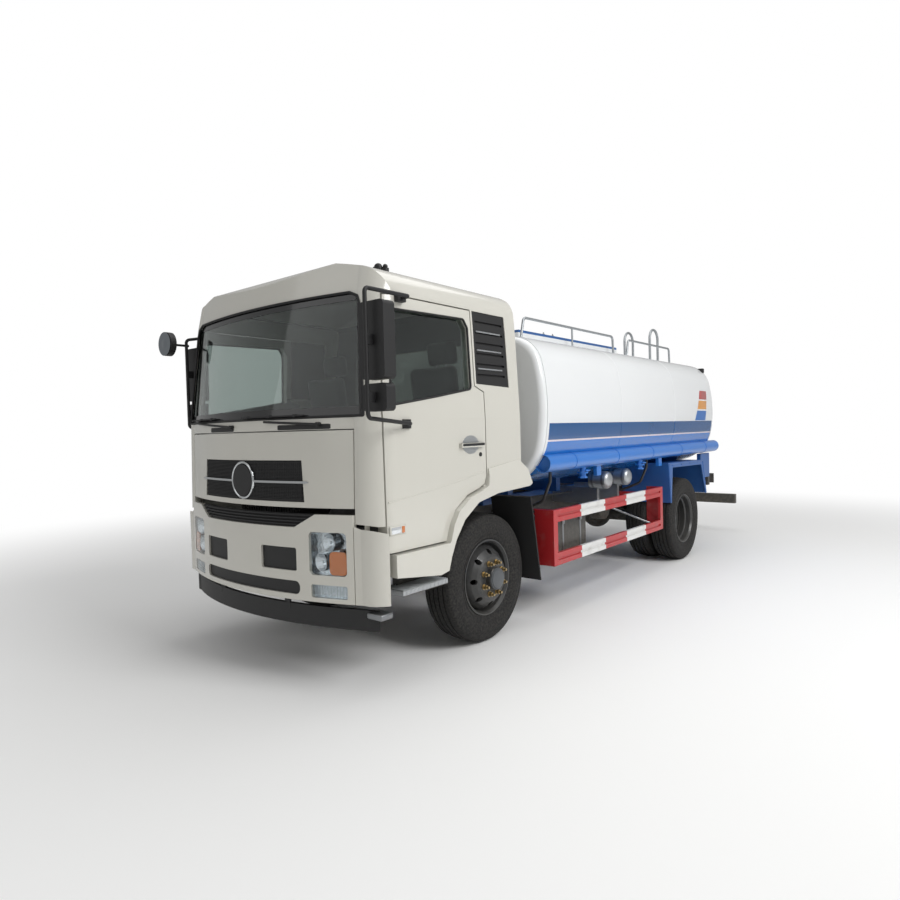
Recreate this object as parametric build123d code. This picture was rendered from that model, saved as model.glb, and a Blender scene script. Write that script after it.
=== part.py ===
from build123d import *
import os
from math import cos, radians, sin, sqrt

# Water tanker truck with a tilting cab over the engine, two axles and twin rear wheels.
# Millimetres. X is the truck's left, Y runs to the rear from the front axle, Z is up from the ground.

# Running gear
WHEELBASE = 3950
TYRE_R = 506
WHEEL_OFFSET = 160
FRONT_TRACK = 1830
REAR_TRACK = 1828
TWIN_SPACING = 2 * (WHEEL_OFFSET - 4)
KINGPIN_X = 770
KINGPIN_R = 20
SPINDLE_R = 40
HUB_R = 88
RUN_GAP = 0.3

# Chassis frame
FRAME_HALF_W = 430
FRAME_H = 250
FRAME_TOP = 960
FRAME_WEB = 8
FRAME_FLANGE = 75
FRAME_FRONT_Y = -1375
REAR_BAR_Y = 6235
REAR_BAR_DEPTH = 80
REAR_BAR_HALF_W = 1150
REAR_BAR_Z = 452
REAR_BAR_H = 138

# Cab
CAB_FRONT_Y = -1517
CAB_BACK_Y = 335
CAB_HALF_W = 1150
CAB_FLOOR_Z = 1210
CAB_WALL = 45
CAB_SKIRT_Z = 745
DRIP_Z = 2600
DRIP_HALF_W = 1108
ROOF_TOP_Z = 2872
FRONT_ARC_R = 2600
SCREEN_TOP_ARC_R = 4000
CORNER_R = 180
SCREEN_TOP_CORNER_R = 170
SCREEN_LOW_Z = 1765
SCREEN_TOP_Z = 2560
SCREEN_TOP_Y = -1345
PANEL_LOW_Z = 1190
PANEL_TOP_Z = 1695
PANEL_HALF_W = 960
PANEL_T = 25
PANEL_GAP = 8
DOOR_FRONT_Y = -1212
DOOR_REAR_Y = -150
DOOR_UPPER_REAR_Y = -262
DOOR_LOW_Z = 900
DOOR_TOP_Z = 2560
DOOR_T = 70
DOOR_GAP = 10
DOOR_SILL_Z = 1880
TILT_Y = -1330
TILT_Z = 800

# Bumper
BUMPER_LOW_Z = 575
BUMPER_TOP_Z = 1150
BUMPER_HALF_W = 1195
BUMPER_SPLIT_X = 968
BUMPER_T = 30
BUMPER_FRONT_Y = -1523
BUMPER_END_Y = -1232

# Tank
TANK_FRONT_Y = 715
TANK_BACK_Y = 5117
TANK_MID_Z = 1850
TANK_HALF_W = 1188
TANK_HALF_H = 765
TANK_TOP_R = 3200
TANK_SIDE_R = 1700
TANK_CORNER_R = 330
TANK_LOW_CORNER_R = 500
MANHOLE_Y = 2350
MANHOLE_R = 280

# Reach of the whole truck, which sets the origin under its middle
LEFT_MIRROR_Y = -1400
RIGHT_MIRROR_Y = -1080
ARM_REACH = 95
ARM_R = 13
REACH_FRONT_Y = BUMPER_FRONT_Y
REACH_BACK_Y = REAR_BAR_Y + REAR_BAR_DEPTH
ORIGIN_Y = (REACH_FRONT_Y + REACH_BACK_Y) / 2

nodes = {}


def block(x, y, z):
    """A box from its low and high edges on each axis."""
    size = [span[1] - span[0] for span in (x, y, z)]
    middle = [(span[1] + span[0]) / 2 for span in (x, y, z)]
    return Pos(*middle) * Box(*size)


def both(shape):
    """The shape and its mirror image on the other side of the truck."""
    return [shape, mirror(shape, about=Plane.YZ)]


def rod(start, end, radius):
    """A round bar between two points."""
    run = Vector(*end) - Vector(*start)
    return Plane(origin=start, z_dir=run) * Cylinder(radius, run.length, align=(Align.CENTER, Align.CENTER, Align.MIN))


def bent_tube(points, radius, bend):
    """A round tube along straight runs joined by arcs."""
    path = FilletPolyline(*points, radius=bend)
    return sweep(Plane(origin=path @ 0, z_dir=path % 0) * Circle(radius), path=path)


def turned(profile, x):
    """A solid turned about the wheel line from points of distance outboard and radius."""
    face = make_face(Polyline(*[(x + out, 0, r) for out, r in profile], close=True))
    return revolve(face, Axis.X, 360)


def side_prism(points, x):
    """A prism across the truck from its outline of Y and Z."""
    face = make_face(Polyline(*[(x[0], y, z) for y, z in points], close=True))
    return extrude(face, x[1] - x[0], dir=(1, 0, 0))


def front_prism(points, y):
    """A prism along the truck from its outline of X and Z."""
    face = make_face(Polyline(*[(x, y[0], z) for x, z in points], close=True))
    return extrude(face, y[1] - y[0], dir=(0, 1, 0))


# Wheels: a steel disc wheel, its offset towards the mounting face, and a radial tyre
TYRE_PROFILE = [(-104, 287), (-104, 299), (-119, 299), (-138, 385), (-133, 455), (-108, 497), (0, 506),
                (108, 497), (133, 455), (138, 385), (119, 299), (104, 299), (104, 287)]
RIM_PROFILE = [(-117, 298.5), (-104.3, 298.5), (-104.3, 286), (-62, 278), (-52, 262), (28, 262), (40, 278),
               (104.3, 286), (104.3, 298.5), (117, 298.5), (117, 288), (98, 274), (46, 268), (34, 252),
               (-58, 252), (-70, 268), (-117, 276)]
DISC_PROFILE = [(24, 253), (60, 253), (118, 222), (150, 190), (162, 168), (162, HUB_R), (150, HUB_R),
                (150, 162), (139, 181), (108, 211), (48, 240), (24, 240)]
HAND_HOLES = 8
HAND_HOLE_R = 21
HAND_HOLE_CIRCLE_R = 205


def wheel(facing):
    """A rim and its disc, which bulges to the side given by facing."""
    rim = turned(RIM_PROFILE, 0)
    disc = turned([(facing * out, r) for out, r in DISC_PROFILE], 0)
    hole = Pos(facing * 110, 0, HAND_HOLE_CIRCLE_R) * Rot(0, 90, 0) * Cylinder(HAND_HOLE_R, 140)
    holes = [Rot(360 / HAND_HOLES * i, 0, 0) * hole for i in range(HAND_HOLES)]
    return rim + (disc - holes)


def front_wheel():
    """Rim, disc, hub and brake drum of the left front wheel about its own middle."""
    flange = turned([(WHEEL_OFFSET - 22, 0), (WHEEL_OFFSET - 22, 168), (WHEEL_OFFSET - 10.3, 168),
                     (WHEEL_OFFSET - 10.3, 0)], 0)
    hub = turned([(-60, 0), (-60, HUB_R), (WHEEL_OFFSET + 40, HUB_R - 0.5), (WHEEL_OFFSET + 52, HUB_R - 14),
                  (WHEEL_OFFSET + 52, 0)], 0)
    drum = turned([(-95, 205), (40, 205), (40, 0), (28, 0), (28, 190), (-95, 190)], 0)
    bore = Rot(0, 90, 0) * Cylinder(SPINDLE_R + RUN_GAP, 2 * 100)
    return wheel(1) + (flange + hub + drum - bore)


def rear_wheels():
    """Twin rims, hub and brake drum of the left rear about the middle between the tyres."""
    half = TWIN_SPACING / 2
    rims = Pos(-half, 0, 0) * wheel(1) + Pos(half, 0, 0) * wheel(-1)
    hub = turned([(-150, 0), (-150, HUB_R), (120, HUB_R - 0.5), (135, HUB_R - 20), (135, 0)], 0)
    flange = turned([(-30, 0), (-30, 168), (-6.3, 168), (-6.3, 0)], 0)
    drum = turned([(-290, 210), (-110, 210), (-110, 0), (-125, 0), (-125, 195), (-290, 195)], 0)
    bore = Pos(-200, 0, 0) * Rot(0, 90, 0) * Cylinder(SPINDLE_R + 20 + RUN_GAP, 2 * 200)
    return rims + (hub + flange + drum - bore)


front_tyre = Pos(FRONT_TRACK / 2, 0, TYRE_R) * turned(TYRE_PROFILE, 0)
front_rim = Pos(FRONT_TRACK / 2, 0, TYRE_R) * front_wheel()
rear_tyres = [Pos(REAR_TRACK / 2 + out, WHEELBASE, TYRE_R) * turned(TYRE_PROFILE, 0)
              for out in (-TWIN_SPACING / 2, TWIN_SPACING / 2)]
rear_rims = Pos(REAR_TRACK / 2, WHEELBASE, TYRE_R) * rear_wheels()
for side, shapes in zip(("left", "right"), zip(both(front_tyre), both(front_rim), both(rear_rims))):
    nodes["front_tyre_" + side] = [shapes[0]]
    nodes["front_rim_" + side] = [shapes[1]]
    nodes["rear_rims_" + side] = [shapes[2]]
nodes["rear_tyres_left"] = rear_tyres
nodes["rear_tyres_right"] = [mirror(tyre, about=Plane.YZ) for tyre in rear_tyres]

# Front axle beam with kingpin eyes, and the steering knuckles in their forks
EYE_R = 46
EYE_HALF_H = 62
BEAM_HALF_DEPTH = 42
beam_outline = [(-KINGPIN_X, 560), (-620, 545), (-500, 475), (500, 475), (620, 545), (KINGPIN_X, 560),
                (KINGPIN_X, 470), (640, 455), (510, 385), (-510, 385), (-640, 455), (-KINGPIN_X, 470)]
beam = front_prism(beam_outline, (-BEAM_HALF_DEPTH, BEAM_HALF_DEPTH))
for x in (-KINGPIN_X, KINGPIN_X):
    beam = beam - Pos(x, 0, TYRE_R) * Cylinder(EYE_R + 12, 400)
    arm = block((abs(x) - 80, abs(x)), (-32, 32), (TYRE_R - 40, TYRE_R + 40))
    beam = beam + (arm if x > 0 else mirror(arm, about=Plane.YZ))
    beam = beam + Pos(x, 0, TYRE_R) * Cylinder(EYE_R, 2 * EYE_HALF_H)
    beam = beam - Pos(x, 0, TYRE_R) * Cylinder(KINGPIN_R + RUN_GAP, 400)
nodes["front_axle"] = [beam]

FORK_T = 34
fork_z = EYE_HALF_H + RUN_GAP
fork = Pos(KINGPIN_X, 0, TYRE_R) * Cylinder(KINGPIN_R, 2 * (fork_z + FORK_T))
for z in (TYRE_R + fork_z, TYRE_R - fork_z - FORK_T):
    cheek = Pos(KINGPIN_X, 0, z) * Cylinder(EYE_R, FORK_T, align=(Align.CENTER, Align.CENTER, Align.MIN))
    fork = fork + cheek + block((KINGPIN_X, KINGPIN_X + 82), (-EYE_R + 6, EYE_R - 6), (z, z + FORK_T))
fork = fork + block((KINGPIN_X + 55, KINGPIN_X + 82), (-EYE_R, EYE_R),
                    (TYRE_R - fork_z - FORK_T, TYRE_R + fork_z + FORK_T))
fork = fork + rod((KINGPIN_X + 80, 0, TYRE_R), (FRONT_TRACK / 2 + 96, 0, TYRE_R), SPINDLE_R)
arm_low = TYRE_R - fork_z - FORK_T
fork = fork + block((KINGPIN_X - 30, KINGPIN_X + 20), (0, 190), (arm_low, arm_low + 26))
for side, shape in zip(("left", "right"), both(fork)):
    nodes["knuckle_" + side] = [shape]

# Frame: two channel rails, with cross members between their webs
rail_in = FRAME_HALF_W - FRAME_FLANGE
rail_low = FRAME_TOP - FRAME_H
web_in = FRAME_HALF_W - FRAME_WEB
rail = front_prism([(rail_in, rail_low), (FRAME_HALF_W, rail_low), (FRAME_HALF_W, FRAME_TOP), (rail_in, FRAME_TOP),
                    (rail_in, FRAME_TOP - FRAME_WEB), (web_in, FRAME_TOP - FRAME_WEB),
                    (web_in, rail_low + FRAME_WEB), (rail_in, rail_low + FRAME_WEB)],
                   (FRAME_FRONT_Y, REAR_BAR_Y))
# Tilt brackets on the rails, where the cab's arms turn
TILT_BRACKET_X = (FRAME_HALF_W, FRAME_HALF_W + 40)
rail = rail + block(TILT_BRACKET_X, (TILT_Y - 45, TILT_Y + 60), (TILT_Z - 60, TILT_Z + 60))
nodes["frame_rails"] = both(rail)

CROSS_MEMBER_Y = [-1270, 900, 1900, 2900, 4950, 6120]
CROSS_HALF_W = 45
nodes["cross_members"] = [block((-web_in, web_in), (y - CROSS_HALF_W, y + CROSS_HALF_W),
                                (rail_low + 60, FRAME_TOP - 30)) for y in CROSS_MEMBER_Y]

# Leaf springs: curved leaves stacked under the longest, which hangs from the frame at both ends
LEAF_W = 76
LEAF_T = 14
SPRING_SAG = 90


def leaf_spring(x, y, low_z, half_length, leaves):
    """A pack of leaves about y, its lowest face at low_z, each leaf a piece of a ring."""
    ring_r = half_length ** 2 / (2 * SPRING_SAG)
    ring_z = low_z + leaves * LEAF_T + ring_r
    pack = None
    for i in range(leaves):
        outer = ring_r + (i + 1) * LEAF_T
        half = half_length * (1 - i / (leaves + 1))
        ring = Pos(x, y, ring_z) * Rot(0, 90, 0) * (Cylinder(outer, LEAF_W) - Cylinder(outer - LEAF_T, LEAF_W))
        leaf = ring & block((x - LEAF_W, x + LEAF_W), (y - half, y + half), (low_z - 10, low_z + 400))
        pack = leaf if pack is None else pack + leaf
    end_z = ring_z - sqrt(ring_r ** 2 - half_length ** 2)
    return pack, end_z


FRONT_SPRING_X = 392
FRONT_SPRING_HALF = 760
front_spring, front_end_z = leaf_spring(FRONT_SPRING_X, 0, 475, FRONT_SPRING_HALF, 5)
for y in (-FRONT_SPRING_HALF, FRONT_SPRING_HALF):
    front_spring = front_spring + block((FRONT_SPRING_X - LEAF_W / 2, FRONT_SPRING_X + LEAF_W / 2 - 2),
                                        (y - 45, y + 45), (front_end_z - 30, rail_low))
REAR_SPRING_X = 490
REAR_SPRING_HALF = 800
AXLE_TUBE_R = 78
rear_spring, rear_end_z = leaf_spring(REAR_SPRING_X, WHEELBASE, TYRE_R + AXLE_TUBE_R, REAR_SPRING_HALF, 7)
for y in (WHEELBASE - REAR_SPRING_HALF, WHEELBASE + REAR_SPRING_HALF):
    rear_spring = rear_spring + block((FRAME_HALF_W, REAR_SPRING_X + LEAF_W / 2), (y - 50, y + 50),
                                      (rear_end_z - 40, rear_end_z + 90))
nodes["leaf_springs"] = both(front_spring) + both(rear_spring)

# Rear axle housing with its bowl, spindles and the propeller shaft from the gearbox
GEARBOX_END_Y = 760
axle = rod((-700, WHEELBASE, TYRE_R), (700, WHEELBASE, TYRE_R), SPINDLE_R + 20)
axle = axle + rod((-560, WHEELBASE, TYRE_R), (560, WHEELBASE, TYRE_R), AXLE_TUBE_R)
axle = axle + Pos(0, WHEELBASE, TYRE_R) * Sphere(190)
axle = axle + rod((0, WHEELBASE - 300, TYRE_R + 30), (0, WHEELBASE, TYRE_R), 95)
axle = axle + rod((0, GEARBOX_END_Y + 3, 680), (0, WHEELBASE - 290, TYRE_R + 32), 45)
axle = axle + rod((REAR_TRACK / 2 - 220, WHEELBASE, TYRE_R), (REAR_TRACK / 2 - 0.5, WHEELBASE, TYRE_R), SPINDLE_R + 20)
axle = axle + rod((-REAR_TRACK / 2 + 220, WHEELBASE, TYRE_R), (-REAR_TRACK / 2 + 0.5, WHEELBASE, TYRE_R),
                  SPINDLE_R + 20)
nodes["rear_axle"] = [axle]

# Engine and gearbox as one plain block on its mounts
ENGINE_TOP_Z = 1290
engine = block((-330, 330), (-1000, 160), (590, ENGINE_TOP_Z))
engine = engine + block((-190, 190), (150, GEARBOX_END_Y), (560, 860))
for y in (-700, 60):
    engine = engine + block((-web_in, web_in), (y - 50, y + 50), (770, 850))
nodes["engine"] = [engine]


# Cab body: plan sections with a bowed front, under a crowned roof
def plan_face(z, front_y, half_w, back_y, corner, bow_r):
    """A plan section with a bowed front edge and rounded front corners."""
    arc_end_x = half_w - corner
    bow = arc_end_x ** 2 / (2 * bow_r)
    side_y = front_y + bow + corner
    edge = [ThreePointArc((-arc_end_x, front_y + bow, z), (0, front_y, z), (arc_end_x, front_y + bow, z)),
            ThreePointArc((arc_end_x, front_y + bow, z),
                          (arc_end_x + corner * sin(radians(45)), front_y + bow + corner * (1 - cos(radians(45))), z),
                          (half_w, side_y, z)),
            Line((half_w, side_y, z), (half_w, back_y, z)),
            Line((half_w, back_y, z), (-half_w, back_y, z)),
            Line((-half_w, back_y, z), (-half_w, side_y, z)),
            ThreePointArc((-half_w, side_y, z),
                          (-arc_end_x - corner * sin(radians(45)), front_y + bow + corner * (1 - cos(radians(45))), z),
                          (-arc_end_x, front_y + bow, z))]
    return make_face(edge)


# Section columns: height, front Y at the middle, half width, radius of the front bow, radius of the corner
CAB_SECTIONS = [(CAB_SKIRT_Z, CAB_FRONT_Y, CAB_HALF_W, FRONT_ARC_R, CORNER_R),
                (SCREEN_LOW_Z, CAB_FRONT_Y + 25, CAB_HALF_W, FRONT_ARC_R, CORNER_R),
                (SCREEN_TOP_Z, SCREEN_TOP_Y, DRIP_HALF_W + 4, SCREEN_TOP_ARC_R, SCREEN_TOP_CORNER_R),
                (2900, SCREEN_TOP_Y + 72, DRIP_HALF_W - 12, SCREEN_TOP_ARC_R, SCREEN_TOP_CORNER_R)]


def cab_solid(inset):
    """The cab's outside drawn in by the inset on every side."""
    body = loft([plan_face(z, front_y + inset, half_w - inset, CAB_BACK_Y - inset, corner_r - inset, bow_r - inset)
                 for z, front_y, half_w, bow_r, corner_r in CAB_SECTIONS], ruled=True)
    roof_r = 3600
    shoulder_r = 190 - inset
    shoulder_x = DRIP_HALF_W - inset - shoulder_r
    lean = DRIP_HALF_W - inset
    top = ROOF_TOP_Z - inset
    shoulder_z = top - shoulder_r - shoulder_x ** 2 / (2 * roof_r) + 8
    crown = make_face([
        ThreePointArc((-shoulder_x - shoulder_r * 0.24, 0, shoulder_z + shoulder_r * 0.971), (0, 0, top),
                      (shoulder_x + shoulder_r * 0.24, 0, shoulder_z + shoulder_r * 0.971)),
        ThreePointArc((shoulder_x + shoulder_r * 0.24, 0, shoulder_z + shoulder_r * 0.971),
                      (shoulder_x + shoulder_r * 0.8, 0, shoulder_z + shoulder_r * 0.6), (lean, 0, shoulder_z)),
        Polyline((lean, 0, shoulder_z), (lean + 60, 0, SCREEN_LOW_Z), (lean + 60, 0, 0), (-lean - 60, 0, 0),
                 (-lean - 60, 0, SCREEN_LOW_Z), (-lean, 0, shoulder_z)),
        ThreePointArc((-lean, 0, shoulder_z), (-shoulder_x - shoulder_r * 0.8, 0, shoulder_z + shoulder_r * 0.6),
                      (-shoulder_x - shoulder_r * 0.24, 0, shoulder_z + shoulder_r * 0.971))])
    across = Pos(0, CAB_FRONT_Y - 200, 0) * extrude(crown, 2200, dir=(0, 1, 0))
    front = CAB_FRONT_Y - 100
    profile = make_face([
        Polyline((0, CAB_BACK_Y - inset, 0), (0, front, 0), (0, front, DRIP_Z - inset),
                 (0, SCREEN_TOP_Y - 40 + inset, DRIP_Z - inset)),
        ThreePointArc((0, SCREEN_TOP_Y - 40 + inset, DRIP_Z - inset), (0, SCREEN_TOP_Y + 45 + inset / 2, 2755 - inset),
                      (0, SCREEN_TOP_Y + 190, 2825 - inset)),
        ThreePointArc((0, SCREEN_TOP_Y + 190, 2825 - inset), (0, -840, 2862 - inset), (0, -500, ROOF_TOP_Z - inset)),
        Line((0, -500, ROOF_TOP_Z - inset), (0, 100, ROOF_TOP_Z - inset)),
        ThreePointArc((0, 100, ROOF_TOP_Z - inset), (0, 225 - inset, ROOF_TOP_Z - 45 - inset),
                      (0, CAB_BACK_Y - inset, ROOF_TOP_Z - 150 - inset)),
        Line((0, CAB_BACK_Y - inset, ROOF_TOP_Z - 150 - inset), (0, CAB_BACK_Y - inset, 0))])
    along = Pos(-1300, 0, 0) * extrude(profile, 2600, dir=(1, 0, 0))
    return body & across & along


cab_out = cab_solid(0)
cab_in = cab_solid(CAB_WALL)
cab_wall = cab_out - cab_in

# Door outline in Y and Z, with its lower rear corner cut for the wheel
DOOR_OUTLINE = [(DOOR_FRONT_Y, DOOR_LOW_Z), (-640, DOOR_LOW_Z), (-600, 1010), (-530, 1110), (-390, 1200),
                (-240, 1240), (DOOR_REAR_Y - 20, 1270), (DOOR_REAR_Y, 1330), (DOOR_REAR_Y, 1955),
                (DOOR_UPPER_REAR_Y, 1998), (DOOR_UPPER_REAR_Y, DOOR_TOP_Z), (-1150, DOOR_TOP_Z), (DOOR_FRONT_Y, 1800)]
GLASS_OUTLINE = [(-1150, DOOR_SILL_Z - 30), (-300, DOOR_SILL_Z + 98), (-300, 2425), (-345, 2490), (-1080, 2475),
                 (-1130, 2440)]
door_face = make_face(Polyline(*[(0, y, z) for y, z in DOOR_OUTLINE], close=True))
door_prism = extrude(door_face, 1300, dir=(1, 0, 0))
opening_prism = extrude(offset(door_face, DOOR_GAP), 1300, dir=(1, 0, 0))
door_prism = door_prism - block((0, CAB_HALF_W - 220), (-3000, 3000), (0, 3000))
opening_prism = opening_prism - block((0, CAB_HALF_W - 230), (-3000, 3000), (0, 3000))
openings = both(opening_prism)
glass_prism = side_prism(GLASS_OUTLINE, (CAB_HALF_W - 220, 1300))

door_shell = (cab_out - cab_solid(DOOR_T)) & door_prism
door_hollow = (cab_solid(DOOR_T - 20) - cab_solid(DOOR_T + 30)) & side_prism(
    [(-1160, 960), (-690, 960), (-560, 1180), (-200, 1330), (-200, 1800), (-1160, 1740)], (900, 1300))
door = door_shell - glass_prism - door_hollow
door_glass = (cab_solid(22) - cab_solid(27)) & glass_prism
handle = block((CAB_HALF_W - 2, CAB_HALF_W + 28), (-470, -200), (1548, 1580))
door = door + handle
for side, shape, glass in zip(("left", "right"), both(door), both(door_glass)):
    nodes["door_" + side] = [shape]
    nodes["door_glass_" + side] = [glass]

# Windscreen and back window, each in its own cut
SCREEN_OUTLINE = [(-1040, SCREEN_LOW_Z + 20), (1040, SCREEN_LOW_Z + 20), (975, 2500), (950, 2560), (890, 2588),
                  (-890, 2588), (-950, 2560), (-975, 2500)]
screen_cut = front_prism(SCREEN_OUTLINE, (-1600, -1120))
BACK_WINDOW = [(-600, 1950), (600, 1950), (600, 2400), (-600, 2400)]
back_cut = front_prism(BACK_WINDOW, (200, 400))
pane = cab_solid(10) - cab_solid(16)
nodes["cab_glass"] = [pane & screen_cut, pane & back_cut]

# Cab panels: front with its pillars, sides, back, roof and floor
ROOF_SPLIT_Z = DRIP_Z + 15
panel_zone = block((-PANEL_HALF_W - PANEL_GAP, PANEL_HALF_W + PANEL_GAP), (-1700, -1200), (0, PANEL_TOP_Z + PANEL_GAP))
corner_z = 1075
front_zone = block((-1300, 1300), (-1700, -1100), (corner_z, ROOF_SPLIT_Z))
cab_front = cab_wall & front_zone
for opening in openings:
    cab_front = cab_front - opening
cab_front = cab_front - panel_zone - screen_cut
corner_cut = side_prism([(-1700, PANEL_LOW_Z), (-1412, PANEL_LOW_Z), (-1330, 1092), (-1262, 1078), (-1262, 900), (-1700, 900)],
                        (900, 1300))
cab_front = cab_front - both(corner_cut)
BULKHEAD_IN = 60
BULKHEAD_T = 25
bulkhead_out = cab_solid(BULKHEAD_IN)
bulkhead_in = cab_solid(BULKHEAD_IN + BULKHEAD_T)
bulkhead_x = PANEL_HALF_W + PANEL_GAP
bulkhead_z = (CAB_FLOOR_Z + 8, SCREEN_LOW_Z - 15)
cab_front = cab_front + ((bulkhead_out - bulkhead_in) & block((-bulkhead_x - 20, bulkhead_x + 20), (-1700, -1200), bulkhead_z))
pillar_web = (cab_out - bulkhead_in) & block((bulkhead_x, bulkhead_x + 25), (-1700, -1270), bulkhead_z)
cowl = (cab_out - bulkhead_in) & block((-bulkhead_x - 20, bulkhead_x + 20), (-1700, -1270),
                                       (PANEL_TOP_Z + PANEL_GAP, PANEL_TOP_Z + PANEL_GAP + 40))
panel_stop = (cab_solid(PANEL_T + RUN_GAP) - cab_solid(BULKHEAD_IN + 5)) & block((780, 820), (-1700, -1200), (1600, 1640))
cab_front = cab_front + both(pillar_web) + cowl + both(panel_stop)
for opening in openings:
    cab_front = cab_front - opening
nodes["cab_front"] = [cab_front]

LOUVRE_OUTLINE = [(-232, 2018), (200, 2004), (188, 2565), (-232, 2565)]
HEADER_Y = (-1100, -300)
side_zone = block((0, 1300), (HEADER_Y[1], CAB_BACK_Y - CAB_WALL), (CAB_FLOOR_Z + 40, ROOF_SPLIT_Z))
louvre_cut = side_prism(LOUVRE_OUTLINE, (1000, 1300))
quarter = (cab_wall & side_zone) - louvre_cut - opening_prism
nodes["cab_sides"] = both(quarter)
louvre = (cab_solid(6) - cab_solid(30)) & louvre_cut
LOUVRE_GROOVES = 6
for i in range(LOUVRE_GROOVES):
    groove_z = 2080 + 80 * i
    groove = (cab_solid(0) - cab_solid(20)) & block((1000, 1300), (-200, 160), (groove_z, groove_z + 16))
    louvre = louvre - groove
nodes["louvres"] = both(louvre)

back_zone = block((-1300, 1300), (CAB_BACK_Y - CAB_WALL, CAB_BACK_Y + 10), (CAB_FLOOR_Z + 40, ROOF_SPLIT_Z))
nodes["cab_back"] = [(cab_wall & back_zone) - back_cut]
header = cab_wall & block((-1300, 1300), HEADER_Y, (DOOR_TOP_Z + DOOR_GAP, ROOF_SPLIT_Z))
nodes["cab_roof"] = [(cab_wall & block((-1300, 1300), (-1700, 400), (ROOF_SPLIT_Z, 3000))) + header]

HUMP_HALF_W = 400
HUMP_TOP_Z = 1370
floor = block((-1200, 1200), (-1700, CAB_BACK_Y - CAB_WALL), (CAB_FLOOR_Z, CAB_FLOOR_Z + 40)) & bulkhead_in
floor = floor + block((-HUMP_HALF_W, HUMP_HALF_W), (-1250, CAB_BACK_Y - CAB_WALL), (CAB_FLOOR_Z, HUMP_TOP_Z))
floor = floor - block((-HUMP_HALF_W + 35, HUMP_HALF_W - 35), (-1215, CAB_BACK_Y + 10), (0, HUMP_TOP_Z - 35))
for opening in openings:
    floor = floor - opening
TILT_ARM_X = (TILT_BRACKET_X[1] + RUN_GAP, TILT_BRACKET_X[1] + 30)
# The arms lean back from the pivot, so that they clear the bumper when the cab is tilted
TILT_ARM = [(-35, -35), (35, -35), (65, 20), (370, CAB_FLOOR_Z - TILT_Z - 40), (400, CAB_FLOOR_Z - TILT_Z + 20),
            (270, CAB_FLOOR_Z - TILT_Z + 20), (-35, 30)]
tilt_arm = side_prism([(TILT_Y + y, TILT_Z + z) for y, z in TILT_ARM], TILT_ARM_X)
nodes["cab_floor"] = [floor + both(tilt_arm)]

# Wheel arches: flared lips over the front wheels, with the sill under the door
ARCH_X = (CAB_HALF_W - 60, 1195)
ARCH_IN = [(-672, 700), (-640, 790), (-582, 904), (-480, 1031), (-306, 1140), (-60, 1185), (391, 1205)]
ARCH_REAR = [(438, 1225), (412, 1342), (300, 1428)]
ARCH_OUT = [(-128, 1378), (DOOR_REAR_Y + 12, 1320), (DOOR_REAR_Y - 14, 1254), (-240, 1226), (-395, 1186),
            (-542, 1098), (-614, 1002), (-652, DOOR_LOW_Z - DOOR_GAP)]
SILL = [(-1190, DOOR_LOW_Z - DOOR_GAP), (-1190, CAB_SKIRT_Z), (-760, CAB_SKIRT_Z - 60)]
arch = side_prism(ARCH_IN + ARCH_REAR + ARCH_OUT + SILL, ARCH_X)
# The flare's face leans in towards its top, and it is hollow where the door's and the cab's walls stand
lean = front_prism([(ARCH_X[1], 1215), (ARCH_X[1] + 20, 1215), (ARCH_X[1] + 20, 1500), (CAB_HALF_W + 2, 1500),
                    (CAB_HALF_W + 2, 1425)], (-1200, 500))
arch = arch - lean - block((0, CAB_HALF_W), (-400, CAB_BACK_Y), (CAB_FLOOR_Z + 40, 1500))
nodes["wheel_arches"] = both(arch - door_prism)

# Front service panel, hinged along its top edge, and its dark grille
front_panel = (cab_out - cab_solid(PANEL_T)) & block((-PANEL_HALF_W, PANEL_HALF_W), (-1700, -1200),
                                                    (PANEL_LOW_Z, PANEL_TOP_Z))
GRILLE_HALF_W = 600
GRILLE_Z = (1226, 1503)
grille_cut = front_prism([(-GRILLE_HALF_W, GRILLE_Z[0]), (GRILLE_HALF_W, GRILLE_Z[0]),
                          (GRILLE_HALF_W - 20, GRILLE_Z[1]), (-GRILLE_HALF_W + 20, GRILLE_Z[1])], (-1700, -1200))
nodes["front_panel"] = [front_panel - grille_cut]
grille = (cab_solid(16) - cab_solid(PANEL_T)) & grille_cut
GRILLE_SLATS = 9
slat_skin = (cab_solid(6) - cab_solid(17)) & grille_cut
for i in range(GRILLE_SLATS):
    slat_z = GRILLE_Z[0] + 6 + 31 * i
    grille = grille + (slat_skin & block((-700, 700), (-1700, -1200), (slat_z, slat_z + 14)))
nodes["panel_grille"] = [grille]

# Dashboard with the steering wheel, and the seats on the floor
FLOOR_TOP = CAB_FLOOR_Z + 40
DASH_TOP_Z = 1745
lean_back = 25 * (DASH_TOP_Z - CAB_SKIRT_Z) / (SCREEN_LOW_Z - CAB_SKIRT_Z)
dash_inset = BULKHEAD_IN + BULKHEAD_T + RUN_GAP
dash_plan = plan_face(1400, CAB_FRONT_Y + lean_back + dash_inset, CAB_HALF_W - dash_inset, CAB_BACK_Y,
                      CORNER_R - dash_inset, FRONT_ARC_R - dash_inset)
dash = side_prism([(-1500, 1500), (-1130, 1500), (-1000, 1620), (-1010, 1700), (-1180, DASH_TOP_Z), (-1500, DASH_TOP_Z)],
                  (-1100, 1100)) & extrude(dash_plan, 400, dir=(0, 0, 1))
for opening in openings:
    dash = dash - opening
STEER_X = 560
STEER_MID = (STEER_X, -870, 1720)
steer_plane = Plane(origin=STEER_MID, z_dir=(0, 0.42, 0.907))
steer = steer_plane * (Torus(215, 15) + Cylinder(55, 26) + Box(400, 34, 16) + Pos(0, -100, 0) * Box(34, 200, 16))
column = rod((STEER_X, -870, 1720), (STEER_X, -1100, 1220), 28) - floor
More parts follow.
